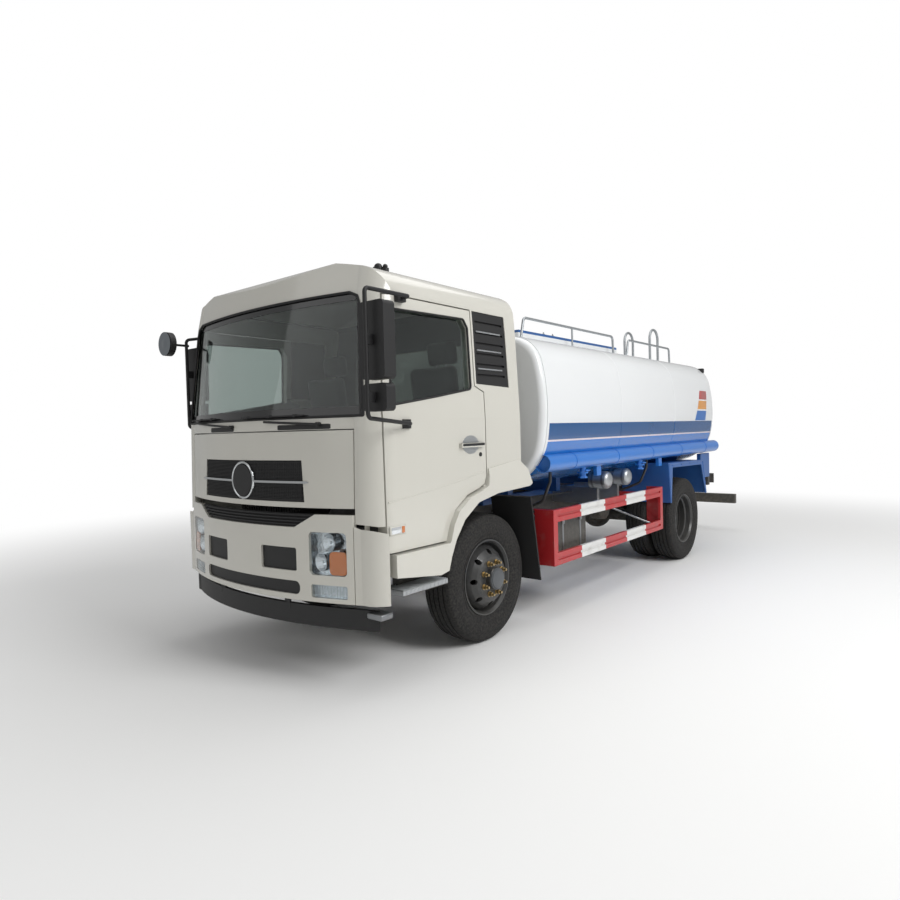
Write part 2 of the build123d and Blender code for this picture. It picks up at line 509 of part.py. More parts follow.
column_bracket = block((STEER_X - 30, STEER_X + 30), (-1080, -925), (1570, 1600))
nodes["dashboard"] = [dash]
nodes["steering_wheel"] = [((steer + column + column_bracket) - dash).solids().sort_by(SortBy.VOLUME)[-1]]
SEAT_X = (430, 880)
seat = side_prism([(-640, FLOOR_TOP + 150), (-640, 1560), (-200, 1520), (-60, 2180), (60, 2180), (-60, 1480),
                   (-100, FLOOR_TOP + 150)], SEAT_X)
seat = seat + block((SEAT_X[0] + 60, SEAT_X[1] - 60), (-560, -160), (FLOOR_TOP, 1480))
nodes["seats"] = both(seat)

# Wipers at the foot of the windscreen, their spindles seated on the cowl
wipers = []
WIPER_Z = 1738
WIPER_OFF = 22
ARM_THICK_R = 8


def cowl_point(x, z, off):
    """A point standing off the foot of the windscreen."""
    return (x, CAB_FRONT_Y + 25 + x ** 2 / (2 * FRONT_ARC_R) - off, z)


# Wiper columns: pivot X, tip X, tip height
for pivot_x, tip_x, tip_z in ((-120, -800, 1785), (725, 270, 1765)):
    middle = cowl_point((pivot_x + tip_x) / 2, (WIPER_Z + tip_z) / 2, WIPER_OFF)
    spindle = rod(cowl_point(pivot_x, WIPER_Z, 30), cowl_point(pivot_x, WIPER_Z, -20), 14) - cab_out
    arm = rod(cowl_point(pivot_x, WIPER_Z, WIPER_OFF), middle, ARM_THICK_R)
    wipers.append(spindle + arm + rod(middle, cowl_point(tip_x, tip_z, WIPER_OFF), ARM_THICK_R))
nodes["wipers"] = wipers

# Bumper: a bowed cover between the lamps, its corners carried by the cab, and dark inserts
def bumper_solid(inset):
    face = plan_face(BUMPER_LOW_Z, BUMPER_FRONT_Y + inset, BUMPER_HALF_W - inset, 0, CORNER_R - inset, FRONT_ARC_R - inset)
    return extrude(face, BUMPER_TOP_Z - BUMPER_LOW_Z, dir=(0, 0, 1))


bumper_wall = (bumper_solid(0) - bumper_solid(BUMPER_T)) & block((-1300, 1300), (-1700, BUMPER_END_Y), (0, 3000))
cover = bumper_wall & block((-BUMPER_SPLIT_X + 6, BUMPER_SPLIT_X - 6), (-1700, 0), (0, 3000))
corner = bumper_wall & block((BUMPER_SPLIT_X, 1300), (-1700, 0), (0, 3000))
corner = corner - side_prism([(-1420, BUMPER_TOP_Z + 1), (-1325, 1061), (-1200, 1022), (-1200, BUMPER_TOP_Z + 1)],
                             (900, 1300))
INTAKE_LOW_Z = 1060
INTAKE_HALF_W = (525, 690)
intake_outline = [(-INTAKE_HALF_W[1], BUMPER_TOP_Z + 20), (-INTAKE_HALF_W[1], BUMPER_TOP_Z - 2),
                  (-INTAKE_HALF_W[0], INTAKE_LOW_Z), (INTAKE_HALF_W[0], INTAKE_LOW_Z),
                  (INTAKE_HALF_W[1], BUMPER_TOP_Z - 2), (INTAKE_HALF_W[1], BUMPER_TOP_Z + 20)]
intake_cut = front_prism(intake_outline, (-1700, -1200))
cover = cover - intake_cut
intake_plate = (bumper_solid(BUMPER_T) - bumper_solid(BUMPER_T + 10)) & block((-INTAKE_HALF_W[1], INTAKE_HALF_W[1]),
                                                                             (-1700, -1200), (INTAKE_LOW_Z - 20, BUMPER_TOP_Z))
for i in range(4):
    slat_z = INTAKE_LOW_Z + 14 + 21 * i
    intake_plate = intake_plate + ((bumper_solid(12) - bumper_solid(BUMPER_T + 1)) & intake_cut
                                   & block((-700, 700), (-1700, -1200), (slat_z, slat_z + 8)))
insert_solids = [intake_plate]


def face_cut(x, z, corner):
    """A cut straight back through the bumper's face, with rounded corners."""
    outline = Rot(90, 0, 0) * RectangleRounded(x[1] - x[0], z[1] - z[0], corner)
    return Pos((x[0] + x[1]) / 2, -1700, (z[0] + z[1]) / 2) * extrude(outline, 500, dir=(0, 1, 0))


# Cut columns: name, low X, high X, low Z, high Z, corner radius
COVER_CUTS = [("recess_right", -537, -210, 768, 923, 14), ("recess_left", 210, 537, 768, 923, 14),
              ("slot_lower", -560, 560, 612, 702, 38)]
LAMP_CUTS = [("head_left", 640, 915, 752, 1035, 30), ("fog_left", 650, 915, 603, 690, 14)]
inserts = bumper_solid(15) - bumper_solid(27)
for name, x0, x1, z0, z1, corner_r in COVER_CUTS:
    cut = face_cut((x0, x1), (z0, z1), corner_r)
    cover = cover - cut
    insert_solids.append(inserts & cut)
lamp_body = bumper_solid(3) - bumper_solid(90)
lamps = []
for name, x0, x1, z0, z1, corner_r in LAMP_CUTS:
    cut = face_cut((x0, x1), (z0, z1), corner_r)
    cover = cover - both(cut)
    lamps += both(lamp_body & cut)
BRACKET_Z = (rail_low + 2, rail_low + 50)
bracket = block((rail_in, FRAME_HALF_W), (BUMPER_FRONT_Y + BUMPER_T + 15, FRAME_FRONT_Y), BRACKET_Z)
nodes["bumper"] = [cover + both(bracket)]
corner_plate = block((1015, 1030), (-1450, BUMPER_END_Y - 30), (1000, 1150)) & bumper_solid(BUMPER_T)
nodes["bumper_corners"] = both(corner + (corner_plate - cab_front))
nodes["bumper_inserts"] = insert_solids
nodes["front_lamps"] = lamps
DAM_TOP_Z = 535
dam_face = plan_face(400, BUMPER_FRONT_Y + 45, 1130, 0, CORNER_R - 45, FRONT_ARC_R)
dam_face = dam_face - plan_face(400, BUMPER_FRONT_Y + 75, 1100, 0, CORNER_R - 75, FRONT_ARC_R)
dam = extrude(dam_face, DAM_TOP_Z - 400, dir=(0, 0, 1)) & block((-1300, 1300), (-1700, -1250), (0, 3000))
dam_stay = block((rail_in + 10, FRAME_HALF_W - 10), (BUMPER_FRONT_Y + 76, BUMPER_FRONT_Y + 90), (DAM_TOP_Z - 40, BRACKET_Z[0]))
nodes["air_dam"] = [dam + both(dam_stay)]

# Cab steps on brackets from the frame
step_x = (960, 1150)
step = block(step_x, (-1090, -640), (600, 635)) + block((step_x[0], step_x[0] + 40), (-1000, -700), (600, 740))
step = step + block((FRAME_HALF_W, step_x[0] + 40), (-900, -820), (715, 765))
nodes["cab_steps"] = both(step)


# Tank: an oval shell section of tangent arcs with dished ends
def corner_points(side_r, top_r, half_w, half_h, corner):
    """Where a corner arc meets the side arc, its middle, and where it meets the top arc."""
    side_x = half_w - side_r
    top_z = half_h - top_r
    gap = sqrt(side_x ** 2 + top_z ** 2)
    reach_side = side_r - corner
    reach_top = top_r - corner
    along = (reach_side ** 2 - reach_top ** 2 + gap ** 2) / (2 * gap)
    off = sqrt(reach_side ** 2 - along ** 2)
    ux, uz = -side_x / gap, top_z / gap
    centre = Vector(side_x + along * ux - off * uz, along * uz + off * ux)
    side_pt = (centre - Vector(side_x, 0)).normalized() * side_r + Vector(side_x, 0)
    top_pt = (centre - Vector(0, top_z)).normalized() * top_r + Vector(0, top_z)
    mid_pt = ((side_pt + top_pt) * 0.5 - centre).normalized() * corner + centre
    return side_pt, mid_pt, top_pt


def tank_face(inset=0):
    """The tank's section: crowned top and bottom, bowed sides, and corners that are rounder below."""
    half_w = TANK_HALF_W - inset
    half_h = TANK_HALF_H - inset
    curves = (TANK_SIDE_R - inset, TANK_TOP_R - inset, half_w, half_h)
    upper = corner_points(*curves, TANK_CORNER_R - inset)
    lower = corner_points(*curves, TANK_LOW_CORNER_R - inset)

    def at(x, z):
        return (x, 0, TANK_MID_Z + z)

    edges = []
    for sx in (1, -1):
        edges.append(ThreePointArc(at(sx * lower[0].X, -lower[0].Y), at(sx * half_w, 0), at(sx * upper[0].X, upper[0].Y)))
        for sz, points in ((1, upper), (-1, lower)):
            edges.append(ThreePointArc(*[at(sx * point.X, sz * point.Y) for point in points]))
    for sz, points in ((1, upper), (-1, lower)):
        edges.append(ThreePointArc(at(-points[2].X, sz * points[2].Y), at(0, sz * half_h),
                                   at(points[2].X, sz * points[2].Y)))
    return make_face(edges)


# The heads stand out past the shell and turn in through a knuckle
HEAD_DEPTH = 62
KNUCKLE_R = 56
HEAD_IN = 5
shell = Pos(0, TANK_FRONT_Y, 0) * extrude(tank_face(), TANK_BACK_Y - TANK_FRONT_Y, dir=(0, 1, 0))
for y, way in ((TANK_FRONT_Y, -1), (TANK_BACK_Y, 1)):
    head = Pos(0, y, 0) * extrude(tank_face(HEAD_IN), HEAD_DEPTH, dir=(0, way, 0))
    outer_face = head.faces().sort_by(Axis.Y)[0 if way < 0 else -1]
    shell = shell + fillet(outer_face.edges(), KNUCKLE_R)
nodes["tank"] = [shell]

# Manhole neck inside a low spill frame, with the walkway plates beside it
TANK_TOP_Z = TANK_MID_Z + TANK_HALF_H
NECK_T = 8
NECK_TOP_Z = TANK_TOP_Z + 90
neck_ring = Pos(0, MANHOLE_Y, TANK_TOP_Z - 20) * Cylinder(MANHOLE_R, 110, align=(Align.CENTER, Align.CENTER, Align.MIN))
neck_hole = Pos(0, MANHOLE_Y, TANK_TOP_Z - 30) * Cylinder(MANHOLE_R - NECK_T, 130,
                                                          align=(Align.CENTER, Align.CENTER, Align.MIN))
LID_HINGE_Y = MANHOLE_Y + MANHOLE_R + 30
ear = block((-40, 40), (MANHOLE_Y + MANHOLE_R - 8, LID_HINGE_Y - 12), (NECK_TOP_Z - 50, NECK_TOP_Z - 4))
neck = (neck_ring - neck_hole) + ear - shell
nodes["manhole_neck"] = [neck]
lid = Pos(0, MANHOLE_Y, NECK_TOP_Z + RUN_GAP) * Cylinder(MANHOLE_R + 12, 12, align=(Align.CENTER, Align.CENTER, Align.MIN))
lid = lid + Pos(0, MANHOLE_Y, NECK_TOP_Z + 12) * Cylinder(MANHOLE_R - 90, 14, align=(Align.CENTER, Align.CENTER, Align.MIN))
lid = lid + block((-36, 36), (MANHOLE_Y + MANHOLE_R - 30, LID_HINGE_Y + 14), (NECK_TOP_Z + RUN_GAP, NECK_TOP_Z + 12))
nodes["manhole_lid"] = [lid]

COAMING_X = 560
COAMING_Y = (1250, 3450)
COAMING_T = 6
coaming = block((-COAMING_X, COAMING_X), COAMING_Y, (TANK_TOP_Z - 90, TANK_TOP_Z + 28))
coaming = coaming - block((-COAMING_X + COAMING_T, COAMING_X - COAMING_T),
                          (COAMING_Y[0] + COAMING_T, COAMING_Y[1] - COAMING_T), (0, 4000)) - shell
nodes["coaming"] = [coaming]

# Hand rails along the tank top and the ladder at its back, bent from tube
RAIL_R = 13
POST_R = 10
RAIL_X = 640
RAIL_TOP = 2745
rail_foot_z = TANK_TOP_Z - 90
rails = []
for y0, y1, mid in ((1160, 3190, 2180), (3560, 5000, 4300)):
    path = [(RAIL_X, y0, rail_foot_z), (RAIL_X, y0 + 60, RAIL_TOP), (RAIL_X, y1 - 20, RAIL_TOP), (RAIL_X, y1, rail_foot_z)]
    post = rod((RAIL_X, mid, rail_foot_z), (RAIL_X, mid, RAIL_TOP), POST_R)
    rails.append(bent_tube(path, RAIL_R, 50) + post - shell)
nodes["hand_rails"] = [solid for tube in rails for solid in both(tube)]

LADDER_X = 190
LADDER_HALF_W = 190
LADDER_Y = TANK_BACK_Y + 120
HOOP_TOP = 3050
hoop = [(0, TANK_BACK_Y - 170, TANK_TOP_Z - 30), (0, TANK_BACK_Y - 170, HOOP_TOP), (0, LADDER_Y, HOOP_TOP),
        (0, LADDER_Y, 1080)]
stile = bent_tube(hoop, 17, 140)
stile_x = (LADDER_X - LADDER_HALF_W, LADDER_X + LADDER_HALF_W)
ladder = (Pos(stile_x[0], 0, 0) * stile) + (Pos(stile_x[1], 0, 0) * stile)
for i in range(5):
    ladder = ladder + rod((stile_x[0], LADDER_Y, 1180 + 320 * i), (stile_x[1], LADDER_Y, 1180 + 320 * i), 14)
for z in (1400, 2300):
    for x in stile_x:
        ladder = ladder + rod((x, TANK_BACK_Y + HEAD_DEPTH - 10, z), (x, LADDER_Y, z), 14)
nodes["ladder"] = [ladder - shell]

# Bearers that carry the tank on the frame
bearers = []
for y in (1000, 1900, 2800, 3700, 4700):
    cradle = block((-590, 590), (y - 40, y + 40), (FRAME_TOP + 45, TANK_MID_Z - TANK_HALF_H + 60)) - shell
    bearers.append(cradle)
sill_rail = block((FRAME_HALF_W - 70, FRAME_HALF_W), (TANK_FRONT_Y + 60, TANK_BACK_Y + 120), (FRAME_TOP, FRAME_TOP + 60))
bearing = both(sill_rail)
frame_bed = bearing[0] + bearing[1]
for cradle in bearers:
    frame_bed = frame_bed + cradle
nodes["tank_bearers"] = [frame_bed]

# Hose tubes along both sides on small brackets
TUBE_R = 78
TUBE_X = 1120
TUBE_Z = 1364
TUBE_Y = (720, 5330)
tube = rod((TUBE_X, TUBE_Y[0], TUBE_Z), (TUBE_X, TUBE_Y[1], TUBE_Z), TUBE_R)
tube = tube - rod((TUBE_X, TUBE_Y[0] - 10, TUBE_Z), (TUBE_X, TUBE_Y[0] + 40, TUBE_Z), TUBE_R - 6)
for y in (1750, 3330):
    tube = tube + block((TUBE_X - 18, TUBE_X + 18), (y - 45, y + 45), (TUBE_Z - 170, TUBE_Z - TUBE_R + 6))
for y in (1200, 2600, 4600):
    tube = tube + block((1000, TUBE_X), (y - 15, y + 15), (TUBE_Z, TUBE_Z + 40))
nodes["hose_tubes"] = both((tube - shell).solids().sort_by(SortBy.VOLUME)[-1])

# Side guards: a frame of ribbed rails with return plates to the chassis
GUARD_Y = (753, 3231)
GUARD_Z = (472, 960)
GUARD_BAR = 108
GUARD_T = 32
GUARD_X = 1198
bar_x = (GUARD_X - GUARD_T, GUARD_X)
guard = block(bar_x, GUARD_Y, (GUARD_Z[1] - GUARD_BAR, GUARD_Z[1])) + block(bar_x, GUARD_Y, (GUARD_Z[0], GUARD_Z[0] + GUARD_BAR))
for y in (GUARD_Y[0], GUARD_Y[1] - 70):
    guard = guard + block(bar_x, (y, y + 70), GUARD_Z)
for z in (GUARD_Z[0], GUARD_Z[1] - GUARD_BAR):
    guard = guard - block((GUARD_X - 12, GUARD_X + 5), (GUARD_Y[0] + 70, GUARD_Y[1] - 70), (z + 42, z + 66))
for y in (GUARD_Y[0], GUARD_Y[1] - 8):
    guard = guard + block((GUARD_X - 190, GUARD_X), (y, y + 8), GUARD_Z)
for y in (1100, 3000):
    guard = guard + block((FRAME_HALF_W, GUARD_X - GUARD_T + 1), (y, y + 50), (GUARD_Z[1] - 100, GUARD_Z[1] - 50))
nodes["side_guards"] = both(guard)

# Mudguards: curved flaps behind the front wheels, folded plates over the rear ones
flap = side_prism([(468, 1100), (480, 1108), (530, 860), (612, 380), (596, 380), (515, 850)], (740, 1150))
flap = flap + block((FRAME_HALF_W, 760), (490, 520), (900, 940))
nodes["front_mudflaps"] = both(flap)
MUD_X = (600, 1200)
mud_out = [(3484, 744), (3425, 1222), (4640, 1200), (4774, 752), (4764, 752), (4630, 1188), (3437, 1210), (3494, 744)]
mud = side_prism(mud_out, MUD_X)
mud_face = side_prism([(3484, 744), (3425, 1222), (4640, 1200), (4774, 752), (4744, 752), (4580, 1142), (3560, 1161),
                       (3514, 744)], (MUD_X[1] - 12, MUD_X[1]))
mud = mud + mud_face
for y in (3600, 4480):
    mud = mud + block((700, 760), (y - 20, y + 20), (1190, 1290)) - shell

# Air reservoirs, battery box and fuel tank, hung from the frame between the axles
reservoirs = []
for y in (2080, 2560):
    reservoirs.append(rod((890, y, 1120), (1070, y, 1120), 88) + block((FRAME_HALF_W, 960), (y - 25, y + 25),
                                                                      (FRAME_TOP - 90, 1045)))
nodes["air_reservoirs"] = reservoirs
battery = block((560, 1080), (1000, 1560), (480, 850)) + block((FRAME_HALF_W, 570), (1100, 1460), (730, 840))
nodes["battery_box"] = [battery]
fuel = rod((-800, 1350, 680), (-800, 2350, 680), 250) + block((-560, -FRAME_HALF_W), (1500, 1560), (720, 860))
fuel = fuel + block((-560, -FRAME_HALF_W), (2150, 2210), (720, 860))
nodes["fuel_tank"] = [fuel]
exhaust = rod((-700, 820, 640), (-700, 1250, 640), 130) + block((-600, -FRAME_HALF_W), (950, 1000), (720, 780))
nodes["silencer"] = [exhaust]

# Water pump under the tank with its pipe to the rear outlet
pump = rod((560, 2750, 760), (700, 2750, 760), 150) + block((FRAME_HALF_W, 580), (2700, 2800), (740, 840))
OUTLET_R = 44.5
OUTLET_X = 520
PUMP_PIPE_X = 660
pipe = bent_tube([(PUMP_PIPE_X, 2750, 880), (PUMP_PIPE_X, 2750, 1030), (PUMP_PIPE_X, 3200, 1030)], OUTLET_R, 60)
OUTLET_Z = 1250
PIPE_R = 52
NOZZLE_Y = (TANK_BACK_Y + 180, TANK_BACK_Y + 300)
valve = rod((OUTLET_X, TANK_BACK_Y - 60, OUTLET_Z), (OUTLET_X, NOZZLE_Y[0], OUTLET_Z), PIPE_R)
for flange_y in (TANK_BACK_Y + HEAD_DEPTH + 10, NOZZLE_Y[0] - 18):
    valve = valve + rod((OUTLET_X, flange_y, OUTLET_Z), (OUTLET_X, flange_y + 18, OUTLET_Z), 80)
valve = valve + rod((OUTLET_X, NOZZLE_Y[0] - 60, OUTLET_Z), (OUTLET_X, NOZZLE_Y[0] - 60, OUTLET_Z + 110), 34)
valve = valve + rod((OUTLET_X, NOZZLE_Y[0], OUTLET_Z), (OUTLET_X, NOZZLE_Y[1], OUTLET_Z), OUTLET_R)
nodes["water_pump"] = [pump + pipe, valve - shell]

# Rear end: under-run bar on the frame, tail lamps, tow clevis, and the skirt plates behind the mudguards
bar = block((-REAR_BAR_HALF_W, REAR_BAR_HALF_W), (REAR_BAR_Y, REACH_BACK_Y), (REAR_BAR_Z, REAR_BAR_Z + REAR_BAR_H))
for x in (-400, 400):
    bar = bar + block((x - 30, x + 30), (REAR_BAR_Y, REAR_BAR_Y + 30), (REAR_BAR_Z, FRAME_TOP))
nodes["rear_bar"] = [bar]
tail = block((560, 930), (5680, 5760), (770, 900))
tail_arm = block((FRAME_HALF_W, 570), (5700, 5740), (800, 860))
nodes["tail_lamps"] = both(tail + tail_arm)
skirt = block((1060, 1110), (4830, 5190), (940, 1270)) + block((FRAME_HALF_W, 1100), (4900, 4980), (950, 1000))
nodes["rear_mudguards"] = both(mud) + both(skirt - shell)

# Mirrors on the doors: a bent tube arm with a tall and a wide-angle housing, and a round one on the right
MIRROR_X = 1290


def mirror_set(mirror_y, round_glass):
    """Arm and housings on the left door, their middle at mirror_y."""
    front = mirror_y - ARM_REACH
    arm = bent_tube([(CAB_HALF_W - 30, -1026, 2545), (1210, -1026, 2545), (MIRROR_X, front, 2520), (MIRROR_X, front, 1760),
                     (1200, -1023, 1725), (CAB_HALF_W - 20, -1023, 1725)], ARM_R, 32)
    arm = arm + block((1110, 1150), (-1060, -990), (2520, 2570)) + block((1130, 1165), (-1060, -990), (1695, 1755))
    for z0, z1, depth in ((1990, 2450, 95), (1800, 1965, 75)):
        housing = block((MIRROR_X - 100, MIRROR_X + 100), (mirror_y - depth / 2, mirror_y + depth / 2), (z0, z1))
        housing = fillet(housing.edges().filter_by(Axis.Y), 28)
        arm = arm + housing + block((MIRROR_X - 12, MIRROR_X + 12), (front, mirror_y), ((z0 + z1) / 2 - 30, (z0 + z1) / 2 + 30))
    if round_glass:
        arm = arm + rod((MIRROR_X, front + 20, 2470), (MIRROR_X, front - 160, 2470), 10)
        arm = arm + rod((MIRROR_X, front - 190, 2470), (MIRROR_X, front - 140, 2470), 100)
    return arm


nodes["mirrors_left"] = [mirror_set(LEFT_MIRROR_Y, False) - door]
nodes["mirrors_right"] = [mirror(mirror_set(RIGHT_MIRROR_Y, True) - door, about=Plane.YZ)]

os.makedirs("parts", exist_ok=True)
for name, solids in nodes.items():
    placed = [Pos(0, -ORIGIN_Y, 0) * solid for shape in solids for solid in shape.solids()]
    whole = placed[0] if len(placed) == 1 else Compound(children=placed)
    export_step(whole, "parts/" + name + ".step")
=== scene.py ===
from math import cos, exp, hypot, pi, radians, sin, sqrt

import bmesh
import bpy
from mathutils import Matrix, Vector


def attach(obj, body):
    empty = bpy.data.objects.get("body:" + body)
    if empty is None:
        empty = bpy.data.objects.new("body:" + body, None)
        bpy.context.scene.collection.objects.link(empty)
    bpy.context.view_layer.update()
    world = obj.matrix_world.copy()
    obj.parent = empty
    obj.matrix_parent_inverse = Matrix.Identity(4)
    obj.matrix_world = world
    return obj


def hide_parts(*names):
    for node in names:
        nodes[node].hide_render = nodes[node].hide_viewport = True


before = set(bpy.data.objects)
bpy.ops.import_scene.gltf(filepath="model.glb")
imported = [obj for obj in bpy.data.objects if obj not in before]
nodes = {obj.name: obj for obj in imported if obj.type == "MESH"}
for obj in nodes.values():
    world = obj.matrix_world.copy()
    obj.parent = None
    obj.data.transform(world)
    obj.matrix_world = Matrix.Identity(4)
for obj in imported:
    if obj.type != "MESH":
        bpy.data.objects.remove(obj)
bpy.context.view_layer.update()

# Studio: a pale floor and a white surround, lit like a bright overcast yard. The camera stands at eye
# height ahead of the truck's left front corner, with a wide lens and a slight roll, as in the photograph.
EYE = Vector((4.065, -6.537, 1.675))
YAW = radians(39.28)
PITCH = radians(-1.72)
ROLL = radians(-1.513)
LENS_MM = 26.04
SENSOR_MM = 36.0
camera = bpy.data.objects.new("camera", bpy.data.cameras.new("camera"))
camera.data.lens = LENS_MM
camera.data.sensor_width = SENSOR_MM
camera.data.clip_end = 200.0
turn = Matrix.Rotation(YAW, 4, "Z") @ Matrix.Rotation(radians(90) + PITCH, 4, "X")
turn = turn @ Matrix.Rotation(ROLL, 4, "Z")
camera.matrix_world = Matrix.Translation(EYE) @ turn
bpy.context.collection.objects.link(camera)
scene = bpy.context.scene
scene.camera = camera
scene.view_settings.view_transform = "Standard"


def linear(hex_colour):
    """An sRGB hex colour as linear red, green, blue and alpha."""
    parts = [int(hex_colour[i:i + 2], 16) / 255 for i in (1, 3, 5)]
    return [c / 12.92 if c <= 0.04045 else ((c + 0.055) / 1.055) ** 2.4 for c in parts] + [1.0]


def add_node(tree, kind, inputs=None, **settings):
    """Adds a node with its settings, and fills its inputs with values or from other nodes' outputs."""
    node = tree.nodes.new(kind)
    for name, value in settings.items():
        setattr(node, name, value)
    for socket, value in (inputs or {}).items():
        if isinstance(value, bpy.types.NodeSocket):
            tree.links.new(value, node.inputs[socket])
        else:
            node.inputs[socket].default_value = value
    return node


def start_material(name, base, roughness, metallic=0.0, **sockets):
    """A new material with its shader's plain values set. Returns it with its tree and shader."""
    material = bpy.data.materials.new(name)
    material.use_nodes = True
    tree = material.node_tree
    shader = tree.nodes["Principled BSDF"]
    shader.inputs["Base Color"].default_value = linear(base)
    shader.inputs["Roughness"].default_value = roughness
    shader.inputs["Metallic"].default_value = metallic
    for socket, value in sockets.items():
        shader.inputs[socket.replace("_", " ")].default_value = value
    return material, tree, shader


SKY_LEVEL = 0.38
world = bpy.data.worlds.new("surround")
scene.world = world
world.use_nodes = True
sky = world.node_tree
sky.nodes.clear()
ray = add_node(sky, "ShaderNodeLightPath")
seen = add_node(sky, "ShaderNodeMath", operation="MAXIMUM",
                inputs={0: ray.outputs["Is Camera Ray"], 1: ray.outputs["Is Transmission Ray"]})
level = add_node(sky, "ShaderNodeMapRange", {"Value": seen.outputs[0], "To Min": SKY_LEVEL, "To Max": 1.0})
glow = add_node(sky, "ShaderNodeBackground", {"Color": linear("#ffffff"), "Strength": level.outputs[0]})
add_node(sky, "ShaderNodeOutputWorld", {"Surface": glow.outputs[0]})

# Floor: pale matt paint. It fades to plain white away from the truck, so that no horizon shows behind it.
FADE_FROM = 4.0
FADE_TO = 11.0
floor_bm = bmesh.new()
bmesh.ops.create_grid(floor_bm, x_segments=1, y_segments=1, size=60.0)
floor_mesh = bpy.data.meshes.new("floor")
floor_bm.to_mesh(floor_mesh)
floor_bm.free()
floor = bpy.data.objects.new("floor", floor_mesh)
bpy.context.collection.objects.link(floor)
floor_paint, tree, shader = start_material("pale_floor", "#f3f3f2", 0.9)
place = add_node(tree, "ShaderNodeTexCoord")
reach = add_node(tree, "ShaderNodeVectorMath", {0: place.outputs["Object"]}, operation="LENGTH")
far = add_node(tree, "ShaderNodeMapRange", interpolation_type="SMOOTHSTEP",
               inputs={"Value": reach.outputs["Value"], "From Min": FADE_FROM, "From Max": FADE_TO})
ray = add_node(tree, "ShaderNodeLightPath")
seen_far = add_node(tree, "ShaderNodeMath", {0: far.outputs[0], 1: ray.outputs["Is Camera Ray"]},
                    operation="MULTIPLY")
white = add_node(tree, "ShaderNodeEmission", {"Color": linear("#ffffff"), "Strength": 1.0})
faded = add_node(tree, "ShaderNodeMixShader",
                 {0: seen_far.outputs[0], 1: shader.outputs[0], 2: white.outputs[0]})
tree.links.new(faded.outputs[0], tree.nodes["Material Output"].inputs["Surface"])
floor_mesh.materials.append(floor_paint)

# Lamp columns: name, place, where it points, size, watts
LAMPS = [("sun_side", (10.0, -1.5, 8.0), (0.6, -1.0, 1.4), 5.0, 800),
         ("front_fill", (-3.0, -11.0, 5.0), (0, -2.5, 1.2), 6.0, 70),
         ("overhead", (0.5, 0.5, 10.0), (0, 0, 1.0), 9.0, 330)]
for lamp_name, place, aim, size, watts in LAMPS:
    lamp = bpy.data.objects.new(lamp_name, bpy.data.lights.new(lamp_name, "AREA"))
    lamp.data.size = size
    lamp.data.energy = watts
    lamp.location = place
    lamp.rotation_euler = (Vector(place) - Vector(aim)).to_track_quat("Z", "Y").to_euler()
    bpy.context.collection.objects.link(lamp)

# Tyres: radial truck tyres in moulded black rubber, 1.012 m across, on 22.5 inch rims. Four grooves run
# round the tread, lugs bite in from the shoulders, and the side walls bulge past the rim. The rear twins
# stand 36 mm apart.
TYRE_R = 0.506
AXLE_Z = 0.506
FRONT_Y = -2.396
REAR_Y = 1.554
FRONT_X = 0.915
REAR_X = (0.758, 1.07)
GROOVES = (-0.068, -0.023, 0.023, 0.068)
GROOVE_HALF = 0.0045
GROOVE_SLOPE = 0.001
GROOVE_DEPTH = 0.013
CROWN_HALF = 0.108
CROWN_DROP = 0.0095
# Side wall columns: distance from the tyre's middle, radius, from the bead to the shoulder
SIDE_WALL = [(0.104, 0.296), (0.112, 0.302), (0.119, 0.312), (0.126, 0.33), (0.127, 0.334), (0.1245, 0.336),
             (0.133, 0.36), (0.1375, 0.385), (0.138, 0.41), (0.136, 0.436), (0.1335, 0.44), (0.1335, 0.448),
             (0.1325, 0.452), (0.129, 0.468), (0.1235, 0.482), (0.116, 0.491), (0.106, 0.4965)]
LUGS = 54
LUG_LOW = (0.092, -0.0145, 0.4925)
LUG_HIGH = (0.1195, 0.0145, 0.4985)
LUG_OUTER = 0.11
LUG_DROP = 0.014
LUG_SLANT = 0.3


def new_piece(name, bm, material, body, sharp=35, replaces=()):
    """Turns a bmesh into a piece that rides on a body, smooth across edges flatter than the sharp angle."""
    bmesh.ops.recalc_face_normals(bm, faces=bm.faces)
    mesh = bpy.data.meshes.new(name)
    bm.to_mesh(mesh)
    bm.free()
    mesh.shade_smooth()
    mesh.set_sharp_from_angle(angle=radians(sharp))
    for coat in material if isinstance(material, (list, tuple)) else [material]:
        mesh.materials.append(coat)
    piece = bpy.data.objects.new(name, mesh)
    bpy.context.collection.objects.link(piece)
    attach(piece, body)
    if replaces:
        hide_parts(*replaces)
    return piece


def spun(bm, profile, centre, steps, coat=0, axis=(1, 0, 0), closed=False):
    """Spins a profile of (distance along the axis, radius) points about an axis along X or Y."""
    x, y, z = centre
    verts = [bm.verts.new((x + axis[0] * along, y + axis[1] * along, z + r)) for along, r in profile]
    ends = verts[1:] + verts[:1] if closed else verts[1:]
    edges = [bm.edges.new(pair) for pair in zip(verts, ends)]
    before = set(bm.faces)
    bmesh.ops.spin(bm, geom=verts + edges, cent=centre, axis=axis, angle=2 * pi, steps=steps, use_merge=True)
    for face in set(bm.faces) - before:
        face.material_index = coat


def block(bm, low, high, bevel=0.003, segments=1, coat=0):
    """A box between two corners with its edges bevelled."""
    low, high = Vector(low), Vector(high)
    size = Matrix.Diagonal((*(high - low), 1.0))
    made = bmesh.ops.create_cube(bm, size=1.0, matrix=Matrix.Translation((low + high) / 2) @ size)
    for face in {face for vert in made["verts"] for face in vert.link_faces}:
        face.material_index = coat
    if bevel:
        edges = list({edge for vert in made["verts"] for edge in vert.link_edges})
        bmesh.ops.bevel(bm, geom=edges, offset=bevel, segments=segments, affect="EDGES", profile=0.5,
                        material=-1)
    return made["verts"]


